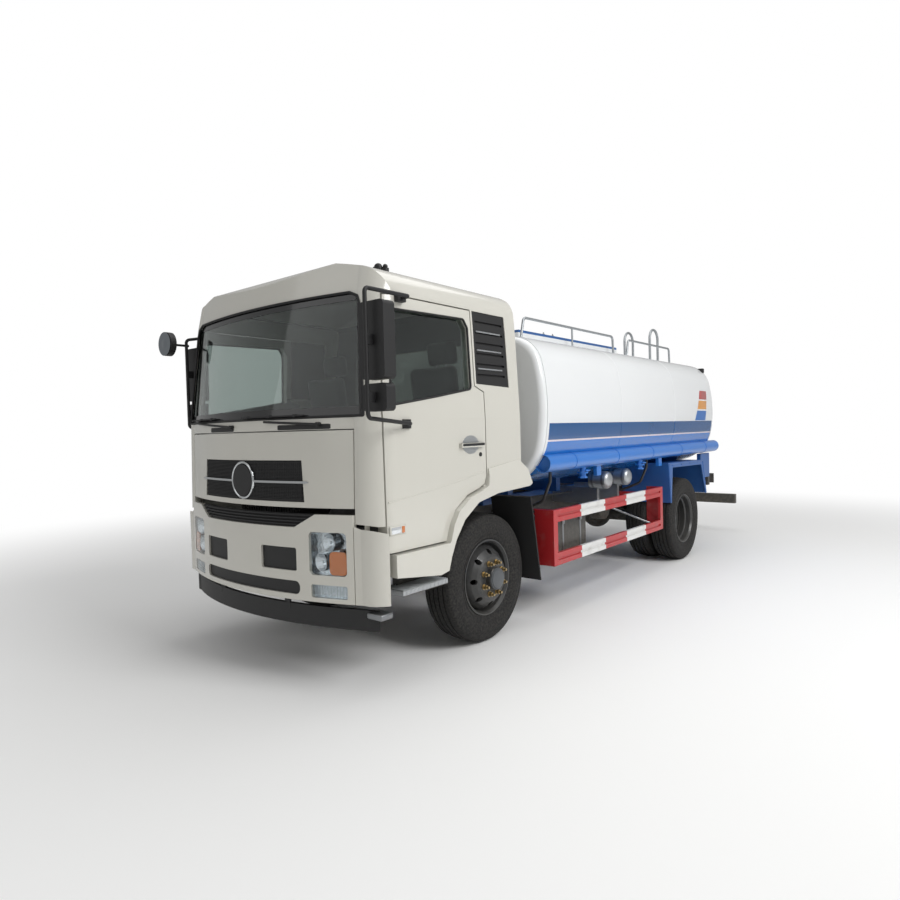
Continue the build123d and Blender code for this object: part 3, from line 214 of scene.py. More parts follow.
def tread_r(x):
    """The tread's crown: its radius at a distance from the middle."""
    return TYRE_R - CROWN_DROP * (x / CROWN_HALF) ** 2


# Moulded rubber: dull and nearly black, with dust caught in its grain that greys it in patches.
rubber, tree, shader = start_material("tyre_rubber", "#2b2b2c", 0.78, Specular_IOR_Level=0.32)
place = add_node(tree, "ShaderNodeTexCoord")
grit = add_node(tree, "ShaderNodeTexNoise", {"Vector": place.outputs["Object"], "Scale": 60.0, "Detail": 8.0})
dust = add_node(tree, "ShaderNodeValToRGB", {"Fac": grit.outputs["Fac"]})
for stop, position, colour in zip(dust.color_ramp.elements, (0.35, 0.75), ("#1c1c1d", "#393734")):
    stop.position = position
    stop.color = linear(colour)
tree.links.new(dust.outputs["Color"], shader.inputs["Base Color"])
bump = add_node(tree, "ShaderNodeBump", {"Height": grit.outputs["Fac"], "Strength": 0.25, "Distance": 0.001})
tree.links.new(bump.outputs[0], shader.inputs["Normal"])

tread = []
for groove in GROOVES:
    for dx, depth in ((-GROOVE_HALF - GROOVE_SLOPE, 0), (-GROOVE_HALF, GROOVE_DEPTH),
                      (GROOVE_HALF, GROOVE_DEPTH), (GROOVE_HALF + GROOVE_SLOPE, 0)):
        tread.append((groove + dx, tread_r(groove + dx) - depth))
tyre_profile = [(-out, r) for out, r in SIDE_WALL] + tread + SIDE_WALL[::-1]
# Tyre columns: side, node that they stand for, body, middles in X and Y
TYRE_TABLE = [("front_left", "front_tyre_left", "front_wheel_l", [(FRONT_X, FRONT_Y)]),
              ("front_right", "front_tyre_right", "front_wheel_r", [(-FRONT_X, FRONT_Y)]),
              ("rear_left", "rear_tyres_left", "rear_wheel_l", [(x, REAR_Y) for x in REAR_X]),
              ("rear_right", "rear_tyres_right", "rear_wheel_r", [(-x, REAR_Y) for x in REAR_X])]
for side, node, body, places in TYRE_TABLE:
    bm = bmesh.new()
    for x, y in places:
        spun(bm, tyre_profile, (x, y, AXLE_Z), 90)
        for i in range(LUGS):
            for way in (-1, 1):
                swing = Matrix.Rotation(2 * pi * (i + 0.25 * way) / LUGS, 4, "X")
                for vert in block(bm, LUG_LOW, LUG_HIGH, bevel=0):
                    if vert.co.x > LUG_OUTER:
                        vert.co.z -= LUG_DROP
                    vert.co.x *= way
                    vert.co.y += LUG_SLANT * (abs(vert.co.x) - LUG_LOW[0]) * way
                    vert.co = swing @ vert.co + Vector((x, y, AXLE_Z))
    new_piece("tyre_" + side, bm, rubber, body, sharp=30, replaces=(node,))

# Wheels: pressed steel discs in dark grey enamel, each held by eight studs with yellow-plated nuts, round a
# hub with a pressed grey cap. The rear hubs stand out further, because the outer rear disc is dished in.
STUDS = 8
STUD_CIRCLE_R = 0.1275
# Nut columns: start and end outboard of the disc's face, radius, sides
NUT_STACK = [(0.0, 0.006, 0.023, 20), (0.006, 0.03, 0.0185, 6), (0.03, 0.052, 0.0105, 12)]
HUB_CAP = [(0.0, 0.084), (0.012, 0.0845), (0.014, 0.078), (0.02, 0.076), (0.026, 0.062), (0.031, 0.03),
           (0.0315, 0.001)]
FRONT_FACE_X = FRONT_X + 0.162
REAR_FACE_X = 0.92


def enamel(name, colour, roughness=0.32, coat=0.5, shade=0.06, dust="#8d8779", dust_amount=0.18):
    """Sprayed enamel on sheet steel: faint orange peel, slow drift of tone, and road dust low down."""
    material, tree, shader = start_material(name, colour, roughness, Coat_Weight=coat, Coat_Roughness=0.08)
    place = add_node(tree, "ShaderNodeTexCoord").outputs["Object"]
    drift = add_node(tree, "ShaderNodeTexNoise", {"Vector": place, "Scale": 1.1, "Detail": 3.0})
    darker = [c * (1 - shade) for c in linear(colour)[:3]] + [1.0]
    tone = add_node(tree, "ShaderNodeMix", {"Factor": drift.outputs["Fac"], 6: darker, 7: linear(colour)},
                    data_type="RGBA")
    height = add_node(tree, "ShaderNodeSeparateXYZ", {"Vector": place})
    specks = add_node(tree, "ShaderNodeTexNoise", {"Vector": place, "Scale": 26.0, "Detail": 6.0})
    low = add_node(tree, "ShaderNodeMapRange", {"Value": height.outputs["Z"], "To Min": dust_amount,
                                                "To Max": 0.0, "From Min": 0.2, "From Max": 1.3})
    grime = add_node(tree, "ShaderNodeMath", {0: specks.outputs["Fac"], 1: low.outputs[0]},
                     operation="MULTIPLY")
    dusty = add_node(tree, "ShaderNodeMix", {"Factor": grime.outputs[0], 6: tone.outputs[2], 7: linear(dust)},
                     data_type="RGBA")
    tree.links.new(dusty.outputs[2], shader.inputs["Base Color"])
    peel = add_node(tree, "ShaderNodeTexNoise", {"Vector": place, "Scale": 330.0, "Detail": 1.0})
    bump = add_node(tree, "ShaderNodeBump",
                    {"Height": peel.outputs["Fac"], "Strength": 0.03, "Distance": 0.0006})
    tree.links.new(bump.outputs[0], shader.inputs["Normal"])
    return material


def plain_material(*values, **sockets):
    """A new material with plain values only."""
    return start_material(*values, **sockets)[0]


def dress(material, *names):
    """Gives CAD nodes a material."""
    for name in names:
        for node_slot in nodes[name].material_slots:
            node_slot.material = material


def rod(bm, start, end, radius, segments=16, coat=0):
    """A round bar between two points."""
    start, end = Vector(start), Vector(end)
    turn = (end - start).to_track_quat("Z", "Y").to_matrix().to_4x4()
    place = Matrix.Translation((start + end) / 2) @ turn
    made = bmesh.ops.create_cone(bm, cap_ends=True, segments=segments, radius1=radius, radius2=radius,
                                 depth=(end - start).length, matrix=place)
    for face in {face for vert in made["verts"] for face in vert.link_faces}:
        face.material_index = coat


wheel_paint = enamel("wheel_paint", "#2c2e31", roughness=0.42, coat=0.2, shade=0.15, dust_amount=0.22)
dress(wheel_paint, "front_rim_left", "front_rim_right", "rear_rims_left", "rear_rims_right")
nut_plate = plain_material("yellow_zinc_nuts", "#a8946d", 0.3, 0.9)
hub_paint = plain_material("hub_cap_grey", "#5d6063", 0.4, 0.3)
# Wheel columns: name, body, face of the disc outboard, middle in Y, hub's end past the face, side of the
# truck
WHEEL_TABLE = [("front_left", "front_wheel_l", FRONT_FACE_X, FRONT_Y, 0.052, 1),
               ("front_right", "front_wheel_r", FRONT_FACE_X, FRONT_Y, 0.052, -1),
               ("rear_left", "rear_wheel_l", REAR_FACE_X, REAR_Y, 0.13, 1),
               ("rear_right", "rear_wheel_r", REAR_FACE_X, REAR_Y, 0.13, -1)]
for side, body, face_x, y, hub_reach, way in WHEEL_TABLE:
    bm = bmesh.new()
    for i in range(STUDS):
        angle = 2 * pi * (i + 0.5) / STUDS
        sy, sz = y + STUD_CIRCLE_R * sin(angle), AXLE_Z + STUD_CIRCLE_R * cos(angle)
        for start, end, radius, sides in NUT_STACK:
            rod(bm, (face_x + start, sy, sz), (face_x + end, sy, sz), radius, sides)
    spun(bm, HUB_CAP, (face_x + hub_reach - 0.014, y, AXLE_Z), 40, coat=1)
    if way < 0:
        bmesh.ops.scale(bm, vec=(-1, 1, 1), verts=bm.verts)
    new_piece("wheel_nuts_" + side, bm, [nut_plate, hub_paint], body)

# Chassis: rails, cross members, springs and boxes in black chassis paint, thin and satin, greyed by road
# dust. The castings are rougher, the mudflaps are moulded rubber, and the fuel tank and reservoirs are
# brushed aluminium.
chassis_paint = enamel("chassis_paint", "#26272a", roughness=0.5, coat=0.1, shade=0.2, dust_amount=0.7)
dress(chassis_paint, "frame_rails", "cross_members", "leaf_springs", "battery_box", "silencer", "rear_bar",
      "cab_floor", "cab_steps", "tail_lamps")
cast_iron = enamel("cast_iron_painted", "#1f2022", roughness=0.62, coat=0.0, shade=0.25, dust_amount=0.8)
dress(cast_iron, "front_axle", "rear_axle", "engine", "water_pump", "knuckle_left", "knuckle_right")
flap_rubber = plain_material("flap_rubber", "#202021", 0.7)
dress(flap_rubber, "front_mudflaps")
mill_aluminium, tree, shader = start_material("mill_aluminium", "#b9bcbe", 0.38, 0.9)
place = add_node(tree, "ShaderNodeTexCoord").outputs["Object"]
brushed = add_node(tree, "ShaderNodeTexNoise", {"Vector": place, "Scale": 45.0, "Detail": 4.0})
rough = add_node(tree, "ShaderNodeMapRange",
                 {"Value": brushed.outputs["Fac"], "To Min": 0.28, "To Max": 0.55})
tree.links.new(rough.outputs[0], shader.inputs["Roughness"])
dress(mill_aluminium, "fuel_tank", "air_reservoirs")

# Steps: aluminium treads below the doors, ribbed on top and along the outer edge so that a wet boot grips.
# They are bolted to black brackets from the frame.
STEP_X = (0.955, 1.152)
STEP_Y = (-3.492, -3.034)
STEP_Z = (0.602, 0.638)
TOP_RIBS = 9
EDGE_RIBS = 11
EDGE_RIB_STEP = 0.04


def both_sides(bm):
    """Copies everything in the bmesh to the other side of the truck."""
    made = bmesh.ops.duplicate(bm, geom=bm.verts[:] + bm.edges[:] + bm.faces[:])
    verts = [item for item in made["geom"] if isinstance(item, bmesh.types.BMVert)]
    faces = [item for item in made["geom"] if isinstance(item, bmesh.types.BMFace)]
    bmesh.ops.scale(bm, vec=(-1, 1, 1), verts=verts)
    bmesh.ops.reverse_faces(bm, faces=faces)


bm = bmesh.new()
block(bm, (STEP_X[0], STEP_Y[0], STEP_Z[0]), (STEP_X[1], STEP_Y[1], STEP_Z[1]), 0.004)
for i in range(TOP_RIBS):
    x = STEP_X[0] + 0.014 + i * (STEP_X[1] - STEP_X[0] - 0.028) / (TOP_RIBS - 1)
    block(bm, (x - 0.0035, STEP_Y[0] + 0.01, STEP_Z[1] - 0.001),
          (x + 0.0035, STEP_Y[1] - 0.01, STEP_Z[1] + 0.004), 0.001)
for i in range(EDGE_RIBS):
    y = STEP_Y[0] + 0.03 + i * EDGE_RIB_STEP
    block(bm, (STEP_X[1] - 0.001, y, STEP_Z[0] + 0.006),
          (STEP_X[1] + 0.003, y + 0.02, STEP_Z[1] - 0.008), 0.001)
both_sides(bm)
new_piece("step_treads", bm, mill_aluminium, "chassis")

# Side guards: rolled steel rails, painted in lengths of red and white that line up across both rails. The
# paint is scuffed in patches, and brown dust sits there.
GUARD_SPAN = (-1.643, 0.835)
GUARD_RED = "#b3262a"
GUARD_WHITE = "#dcdcda"
guard_paint, tree, shader = start_material("guard_paint", GUARD_RED, 0.38, Coat_Weight=0.3)
place = add_node(tree, "ShaderNodeTexCoord").outputs["Object"]
axes = add_node(tree, "ShaderNodeSeparateXYZ", {"Vector": place})
along = add_node(tree, "ShaderNodeMapRange", {"Value": axes.outputs["Y"], "From Min": GUARD_SPAN[0],
                                              "From Max": GUARD_SPAN[1]})
bands = add_node(tree, "ShaderNodeValToRGB", {"Fac": along.outputs[0]})
bands.color_ramp.interpolation = "CONSTANT"
bands.color_ramp.elements[0].color = linear(GUARD_RED)
bands.color_ramp.elements[1].position = 0.2
bands.color_ramp.elements[1].color = linear(GUARD_WHITE)
for i, colour in enumerate((GUARD_RED, GUARD_WHITE, GUARD_RED)):
    bands.color_ramp.elements.new(0.4 + 0.2 * i).color = linear(colour)
scuff = add_node(tree, "ShaderNodeTexNoise", {"Vector": place, "Scale": 9.0, "Detail": 8.0})
worn = add_node(tree, "ShaderNodeMapRange", {"Value": scuff.outputs["Fac"], "From Min": 0.55, "From Max": 0.8,
                                             "To Max": 0.35})
dirty = add_node(tree, "ShaderNodeMix", data_type="RGBA",
                 inputs={"Factor": worn.outputs[0], 6: bands.outputs["Color"], 7: linear("#8b7f74")})
tree.links.new(dirty.outputs[2], shader.inputs["Base Color"])
dress(guard_paint, "side_guards")

# Mudguards over the rear wheels and the bearers under the tank: folded sheet steel in blue enamel, dusty
# low down. The hose tubes along the tank have a brighter and cleaner blue.
body_blue = enamel("body_blue", "#2a62a8", roughness=0.35, coat=0.4, shade=0.1, dust_amount=0.3)
dress(body_blue, "rear_mudguards", "tank_bearers")
pipe_blue = enamel("pipe_blue", "#2f78cc", roughness=0.3, coat=0.5, shade=0.06, dust_amount=0.1)
dress(pipe_blue, "hose_tubes")

# Tank: rolled steel in glossy white enamel. A dark blue band runs along its lower sides, with a lighter
# blue below a thin pale line, and the dished heads stay white.
TANK_WHITE = "#e9ebec"
SHELL_Y = (-1.65, 2.69)
BAND_TOP = 1.715
LINE_Z = 1.562
LINE_HALF = 0.008


def over_enamel(material):
    """What a second colour on an enamel needs: tree, the colour's socket and link, and X, Y and Z."""
    tree = material.node_tree
    colour = tree.nodes["Principled BSDF"].inputs["Base Color"]
    place = add_node(tree, "ShaderNodeTexCoord")
    axes = add_node(tree, "ShaderNodeSeparateXYZ", {"Vector": place.outputs["Object"]})
    return tree, colour, colour.links[0].from_socket, axes.outputs


def where(tree, *limits):
    """A mask that is 1 where every (value, test, limit) holds. A test is LESS_THAN or GREATER_THAN."""
    mask = None
    for value, test, limit in limits:
        holds = add_node(tree, "ShaderNodeMath", {0: value, 1: limit}, operation=test)
        if mask:
            holds = add_node(tree, "ShaderNodeMath", {0: mask, 1: holds.outputs[0]}, operation="MULTIPLY")
        mask = holds.outputs[0]
    return mask


tank_paint = enamel("tank_enamel", TANK_WHITE, roughness=0.22, coat=0.7, shade=0.03, dust_amount=0.0)
tree, colour, enamel_white, spot = over_enamel(tank_paint)
on_shell = ((spot["Y"], "GREATER_THAN", SHELL_Y[0]), (spot["Y"], "LESS_THAN", SHELL_Y[1]))
below_band = where(tree, *on_shell, (spot["Z"], "LESS_THAN", BAND_TOP))
on_line = where(tree, *on_shell, (spot["Z"], "GREATER_THAN", LINE_Z - LINE_HALF),
                (spot["Z"], "LESS_THAN", LINE_Z + LINE_HALF))
below_line = where(tree, (spot["Z"], "LESS_THAN", LINE_Z))
blues = add_node(tree, "ShaderNodeMix", {"Factor": below_line, 6: linear("#004c86"), 7: linear("#006cc0")},
                 data_type="RGBA")
banded = add_node(tree, "ShaderNodeMix", {"Factor": below_band, 6: enamel_white, 7: blues.outputs[2]},
                  data_type="RGBA")
striped = add_node(tree, "ShaderNodeMix", {"Factor": on_line, 6: banded.outputs[2], 7: linear("#d9cfd6")},
                   data_type="RGBA")
tree.links.new(striped.outputs[2], colour)
dress(tank_paint, "tank")

# Coaming round the manhole: folded sheet in white enamel, with a blue edge painted along its top.
EDGE_Z = 2.617
coaming_paint = enamel("coaming_enamel", TANK_WHITE, roughness=0.3, coat=0.5, shade=0.04, dust_amount=0.0)
tree, colour, enamel_white, spot = over_enamel(coaming_paint)
edge = where(tree, (spot["Z"], "GREATER_THAN", EDGE_Z))
edged = add_node(tree, "ShaderNodeMix", {"Factor": edge, 6: enamel_white, 7: linear("#1d5796")},
                 data_type="RGBA")
tree.links.new(edged.outputs[2], colour)
dress(coaming_paint, "coaming")

# Hand rails, ladder, manhole neck and lid: hot-dip galvanised steel, matt grey, with a spangle of about
# 15 mm that breaks up its shine.
zinc, tree, shader = start_material("hot_dip_zinc", "#a9adb0", 0.42, 0.75)
place = add_node(tree, "ShaderNodeTexCoord")
spangle = add_node(tree, "ShaderNodeTexVoronoi", {"Vector": place.outputs["Object"], "Scale": 70.0})
tone = add_node(tree, "ShaderNodeMapRange",
                {"Value": spangle.outputs["Distance"], "To Min": 0.3, "To Max": 0.55})
tree.links.new(tone.outputs[0], shader.inputs["Roughness"])
dress(zinc, "hand_rails", "ladder", "manhole_lid", "manhole_neck")

# Battery box: a black steel tray with a pressed lid over it. Two bright clamps hold the lid at the front,
# and the front's edges are worn to bare steel.
worn_steel = plain_material("worn_bright_steel", "#8d8f91", 0.35, 0.9)
BOX_X = (0.556, 1.08)
BOX_Y = (-1.4, -0.832)
BOX_LID_Z = (0.835, 0.856)
CLAMP_YS = (-1.28, -0.95)
bm = bmesh.new()
block(bm, (BOX_X[0], BOX_Y[0], BOX_LID_Z[0]), (BOX_X[1] + 0.004, BOX_Y[1], BOX_LID_Z[1]), 0.006, 2)
for y in CLAMP_YS:
    block(bm, (BOX_X[1], y - 0.014, 0.5), (BOX_X[1] + 0.0035, y + 0.014, 0.84), 0.001, coat=1)
    block(bm, (BOX_X[1], y - 0.022, 0.79), (BOX_X[1] + 0.012, y + 0.022, 0.83), coat=1)
for z in (0.484, 0.836):
    block(bm, (BOX_X[1] - 0.001, BOX_Y[0] + 0.01, z - 0.003),
          (BOX_X[1] + 0.0025, BOX_Y[1] - 0.01, z + 0.003), 0.001, coat=1)
new_piece("battery_lid", bm, [chassis_paint, worn_steel], "chassis")

# Air reservoirs: aluminium drums with dished ends, lying across the truck. Two steel straps hold each of
# them, and a plug in the bottom drains it.
RESERVOIR_Z = 1.12
RESERVOIR_YS = (-0.316, 0.164)
RESERVOIR_END_X = 1.07
STRAP_XS = (0.92, 1.03)
PLUG_X = 0.98
# Profile columns: distance along the drum, radius
STRAP = [(0.0, 0.0885), (0.0, 0.0915), (0.022, 0.0915), (0.022, 0.0885)]
DISHED_END = [(0.0, 0.086), (0.014, 0.08), (0.026, 0.062), (0.034, 0.035), (0.037, 0.001)]
bm = bmesh.new()
for y in RESERVOIR_YS:
    for x in STRAP_XS:
        spun(bm, STRAP, (x, y, RESERVOIR_Z), 36)
    spun(bm, DISHED_END, (RESERVOIR_END_X, y, RESERVOIR_Z), 36, coat=1)
    rod(bm, (PLUG_X, y, RESERVOIR_Z - 0.09), (PLUG_X, y, RESERVOIR_Z - 0.105), 0.011, 6)
new_piece("reservoir_straps", bm, [worn_steel, mill_aluminium], "chassis")

# Filter drum: a bright steel can between two blue caps, hung from a black bracket behind the front of the
# guard.
DRUM_X, DRUM_Y = 1.0, -1.46
DRUM_SIDES = 28
BRACKET_X = (0.43, 1.02)
BRACKET_Z = (0.9, 0.925)
# Drum columns: low Z, high Z, radius, coat
DRUM = [(0.64, 0.87, 0.05, 0), (0.87, 0.9, 0.053, 1), (0.6, 0.64, 0.036, 1)]
bm = bmesh.new()
for z0, z1, radius, coat in DRUM:
    rod(bm, (DRUM_X, DRUM_Y, z0), (DRUM_X, DRUM_Y, z1), radius, DRUM_SIDES, coat)
block(bm, (BRACKET_X[0], DRUM_Y - 0.015, BRACKET_Z[0]), (BRACKET_X[1], DRUM_Y + 0.015, BRACKET_Z[1]),
      0.004, coat=2)
new_piece("filter_drum", bm, [worn_steel, body_blue, chassis_paint], "chassis")

# Tube stays: bent steel tubes from the frame rail up to the hose tubes, and an air line along the rail, all
# in black chassis paint.


def rounded(points, bend, steps=5):
    """A route with each corner replaced by an arc."""
    points = [Vector(p) for p in points]
    route = [points[0]]
    for before, here, after in zip(points, points[1:], points[2:]):
        back = (before - here).normalized()
        on = (after - here).normalized()
        half = back.angle(on) / 2
        reach = bend / max(0.05, sin(half)) * cos(half)
        reach = min(reach, 0.45 * (before - here).length, 0.45 * (after - here).length)
        start, end = here + back * reach, here + on * reach
        for i in range(steps + 1):
            t = i / steps
            route.append(start * (1 - t) ** 2 + here * 2 * t * (1 - t) + end * t ** 2)
    route.append(points[-1])
    return route


def pipe(bm, points, radius, bend=0.03, segments=12):
    """A round tube along a route, made by extruding its end from place to place."""
    route = rounded(points, bend)
    heading = (route[1] - route[0]).normalized()
    turn = heading.to_track_quat("Z", "Y")
    made = bmesh.ops.create_circle(bm, cap_ends=True, segments=segments, radius=radius,
                                   matrix=Matrix.Translation(route[0]) @ turn.to_matrix().to_4x4())
    end = made["verts"][0].link_faces[0]
    for i in range(1, len(route)):
        grown = bmesh.ops.extrude_face_region(bm, geom=[end])
        end = [item for item in grown["geom"] if isinstance(item, bmesh.types.BMFace)][0]
        ahead = (route[min(i + 1, len(route) - 1)] - route[i - 1]).normalized()
        swing = heading.rotation_difference(ahead)
        for vert in end.verts:
            vert.co = route[i] + swing @ (vert.co - route[i - 1])
        heading = ahead


STAY_YS = (-1.52, 0.62)
STAY_R = 0.014
AIR_LINE_R = 0.009
STAY_LINE = [(0.46, 0.9), (0.8, 0.93), (1.02, 1.02), (1.1, 1.2), (1.1, 1.286)]
AIR_LINE = [(0.45, -1.2, 0.97), (0.62, -1.1, 1.0), (0.66, -0.4, 0.99), (0.64, 0.5, 0.98), (0.45, 0.7, 0.95)]
bm = bmesh.new()
for y in STAY_YS:
    pipe(bm, [(x, y, z) for x, z in STAY_LINE], STAY_R, 0.08, 12)
pipe(bm, AIR_LINE, AIR_LINE_R, 0.12, 8)
new_piece("tube_stays", bm, chassis_paint, "chassis")

# Valves under the hose tubes: turned bodies with a flange, a hexagon plug and a short lever, all painted
# in the tubes' blue.
TUBE_X = 1.12
VALVE_YS = (-0.95, 0.38)
LEVER_Z = 1.262
LEVER_TIP_X = 1.175
GRIP_X = (1.168, 1.18)
GRIP_HALF = 0.045
# Valve columns: low Z, high Z, radius, sides
VALVE = [(1.2, 1.3, 0.03, 24), (1.235, 1.25, 0.052, 24), (1.19, 1.205, 0.044, 6)]
bm = bmesh.new()
for y in VALVE_YS:
    for z0, z1, radius, sides in VALVE:
        rod(bm, (TUBE_X, y, z0), (TUBE_X, y, z1), radius, sides)
    rod(bm, (TUBE_X, y, LEVER_Z), (LEVER_TIP_X, y, LEVER_Z), 0.011, 12)
    block(bm, (GRIP_X[0], y - GRIP_HALF, LEVER_Z - 0.006), (GRIP_X[1], y + GRIP_HALF, LEVER_Z + 0.006))
both_sides(bm)
new_piece("tube_valves", bm, pipe_blue, "chassis")

# Mudguard lips: the sheet's outer edge is folded into a bead all the way round the arch, and four bolts
# through the face hold the guard to its stays.
BEAD_X = 1.1995
BEAD_R = 0.007
BEAD_LINE = [(1.108, 0.748), (1.046, 1.207), (2.236, 1.187), (2.366, 0.756)]
GUARD_BOLT_YS = (1.16, 1.45, 1.74, 2.03)
GUARD_BOLT_Z = 1.186
bm = bmesh.new()
pipe(bm, [(BEAD_X, y, z) for y, z in BEAD_LINE], BEAD_R, 0.02, 8)
for y in GUARD_BOLT_YS:
    rod(bm, (1.2, y, GUARD_BOLT_Z), (1.206, y, GUARD_BOLT_Z), 0.009, 6)
both_sides(bm)
new_piece("mudguard_beads", bm, body_blue, "chassis")

# Tail lamps: red, amber and clear moulded lenses side by side in a black box behind each rear wheel.
LENS_Y = (3.36, 3.372)
LENS_Z = (0.78, 0.89)
# Lens columns: inner X, outer X, coat
LENSES = [(0.568, 0.7, 0), (0.704, 0.81, 1), (0.814, 0.922, 2)]
bm = bmesh.new()
for x0, x1, coat in LENSES:
    block(bm, (x0, LENS_Y[0], LENS_Z[0]), (x1, LENS_Y[1], LENS_Z[1]), 0.004, 2, coat)
both_sides(bm)
lamp_red = plain_material("lamp_red", "#8f1512", 0.2, Coat_Weight=0.6)
tail_amber = plain_material("tail_amber", "#c96a1e", 0.2, Coat_Weight=0.6)
tail_clear = plain_material("tail_clear", "#cfd2d4", 0.2, Coat_Weight=0.6)
new_piece("tail_lenses", bm, [lamp_red, tail_amber, tail_clear], "chassis")

# Rear lamp panel: black folded plates across the ends of the frame rails, each with two small red lamps.
PANEL_X = (0.36, 0.84)
PANEL_Y = (3.8395, 3.86)
PANEL_Z = (0.76, 0.905)
SMALL_LAMP_Y = (3.859, 3.872)
SMALL_LAMP_ZS = (0.8, 0.87)
bm = bmesh.new()
for way in (-1, 1):
    x0, x1 = sorted((way * PANEL_X[0], way * PANEL_X[1]))
    block(bm, (x0, PANEL_Y[0], PANEL_Z[0]), (x1, PANEL_Y[1], PANEL_Z[1]), 0.004, 2)
    for z in SMALL_LAMP_ZS:
        block(bm, (x0 + 0.06, SMALL_LAMP_Y[0], z - 0.02), (x0 + 0.24, SMALL_LAMP_Y[1], z + 0.02), coat=1)
new_piece("rear_lamp_panel", bm, [chassis_paint, lamp_red], "chassis")

# Work lamp: a moulded black housing on a short arm from the tank's rear rim.
ARM_FOOT = (0.93, SHELL_Y[1], 2.3)
ARM_TIP = (1.03, SHELL_Y[1], 2.4)
WORK_LAMP_LOW = (1.0, 2.66, 2.375)
WORK_LAMP_HIGH = (1.085, 2.72, 2.44)
bm = bmesh.new()
rod(bm, ARM_FOOT, ARM_TIP, 0.014, 12)
block(bm, WORK_LAMP_LOW, WORK_LAMP_HIGH, 0.012, 2)
new_piece("rear_work_lamp", bm, flap_rubber, "chassis")

# Bare steel pieces: a strut behind each guard, from the frame rail to the guard's lower rail, and a light
# pad on the left end of the air dam.
STRUT_TOP = Vector((0.468, 0.3, 0.86))
STRUT_FOOT = Vector((1.14, 0.72, 0.53))
PAD_LOW = (1.03, -3.71, 0.49)
PAD_HIGH = (1.165, -3.6, 0.53)
bm = bmesh.new()
for way in (-1, 1):
    across = Vector((way, 1, 1))
    rod(bm, STRUT_TOP * across, STRUT_FOOT * across, 0.012, 12)
new_piece("guard_struts", bm, worn_steel, "chassis")
bm = bmesh.new()
block(bm, PAD_LOW, PAD_HIGH, 0.012, 3)
new_piece("dam_pad", bm, worn_steel, "chassis")

# Radiator core: painted aluminium fins behind the bumper's top, low enough on the first cross member for
# the cab to tilt over it.
CORE_LOW = (-0.33, -3.7, 0.932)
CORE_HIGH = (0.33, -3.66, 1.165)
FINS = 22
FIN_STEP = 0.0302
FIN_WIDTH = 0.006
FIRST_FIN_X = -0.32
bm = bmesh.new()
block(bm, CORE_LOW, CORE_HIGH, 0.004)
for i in range(FINS):
    x = FIRST_FIN_X + i * FIN_STEP
    block(bm, (x, -3.706, 0.94), (x + FIN_WIDTH, -3.699, 1.158), 0.0)
new_piece("radiator_core", bm, chassis_paint, "chassis")

# Cab: pressed steel panels in warm off-white enamel, glossy, with a little road film towards the sills.
# Inside, the shell is lined in grey moulded trim up to the headlining, and the lining follows the walls as
# they lean in.
LINING_X_LOW, LINING_X_TOP = 1.098, 0.97
LINING_Z_LOW, LINING_Z_LEAN, LINING_Z_TOP = 1.215, 1.8, 2.72
LINING_Y_FRONT, LINING_Y_BACK = -3.33, -2.105
cab_paint = enamel("cab_enamel", "#cfcdc4", roughness=0.25, coat=0.7, shade=0.04, dust="#a79c86",
                   dust_amount=0.12)
tree, colour, enamel_cream, spot = over_enamel(cab_paint)
out = add_node(tree, "ShaderNodeMath", {0: spot["X"]}, operation="ABSOLUTE")
reach = add_node(tree, "ShaderNodeMapRange",
                 {"Value": spot["Z"], "From Min": LINING_Z_LEAN, "From Max": LINING_Z_TOP,
                  "To Min": LINING_X_LOW, "To Max": LINING_X_TOP})
inside = where(tree, (out.outputs[0], "LESS_THAN", reach.outputs[0]),
               (spot["Y"], "GREATER_THAN", LINING_Y_FRONT), (spot["Y"], "LESS_THAN", LINING_Y_BACK),
               (spot["Z"], "GREATER_THAN", LINING_Z_LOW), (spot["Z"], "LESS_THAN", LINING_Z_TOP))
lined = add_node(tree, "ShaderNodeMix", {"Factor": inside, 6: enamel_cream, 7: linear("#55565a")},
                 data_type="RGBA")
tree.links.new(lined.outputs[2], colour)
dress(cab_paint, "cab_front", "cab_sides", "cab_back", "cab_roof", "door_left", "door_right", "front_panel",
      "bumper", "bumper_corners", "wheel_arches")

# Black plastic: moulded with a fine leather grain, satin, for the air dam, mirrors, wipers, wheel, grille
# and louvres.
black_plastic, tree, shader = start_material("grained_black_plastic", "#1b1b1c", 0.55)
place = add_node(tree, "ShaderNodeTexCoord")
grain = add_node(tree, "ShaderNodeTexVoronoi", {"Vector": place.outputs["Object"], "Scale": 900.0})
bump = add_node(tree, "ShaderNodeBump",
                {"Height": grain.outputs["Distance"], "Strength": 0.12, "Distance": 0.0004})
tree.links.new(bump.outputs[0], shader.inputs["Normal"])
dress(black_plastic, "air_dam", "bumper_inserts", "mirrors_left", "mirrors_right", "wipers", "steering_wheel",
      "panel_grille", "louvres")

# Windows: laminated and tempered glass with a faint green cast, clear enough to show the seats and the
# dash.
glass = plain_material("window_glass", "#b4bdba", 0.0, Transmission_Weight=1.0, IOR=1.45)
dress(glass, "cab_glass", "door_glass_left", "door_glass_right")
lens = plain_material("clear_lens", "#e3e7ea", 0.08, 0.6, Coat_Weight=1.0)
dress(lens, "front_lamps")
dash_plastic = plain_material("moulded_dash", "#4b4a47", 0.6)
dress(dash_plastic, "dashboard")

# Roof fittings: a marker lamp with a domed lens and an aerial's base, both in black plastic, on the left of
# the roof.
ROOF_Z = 2.72
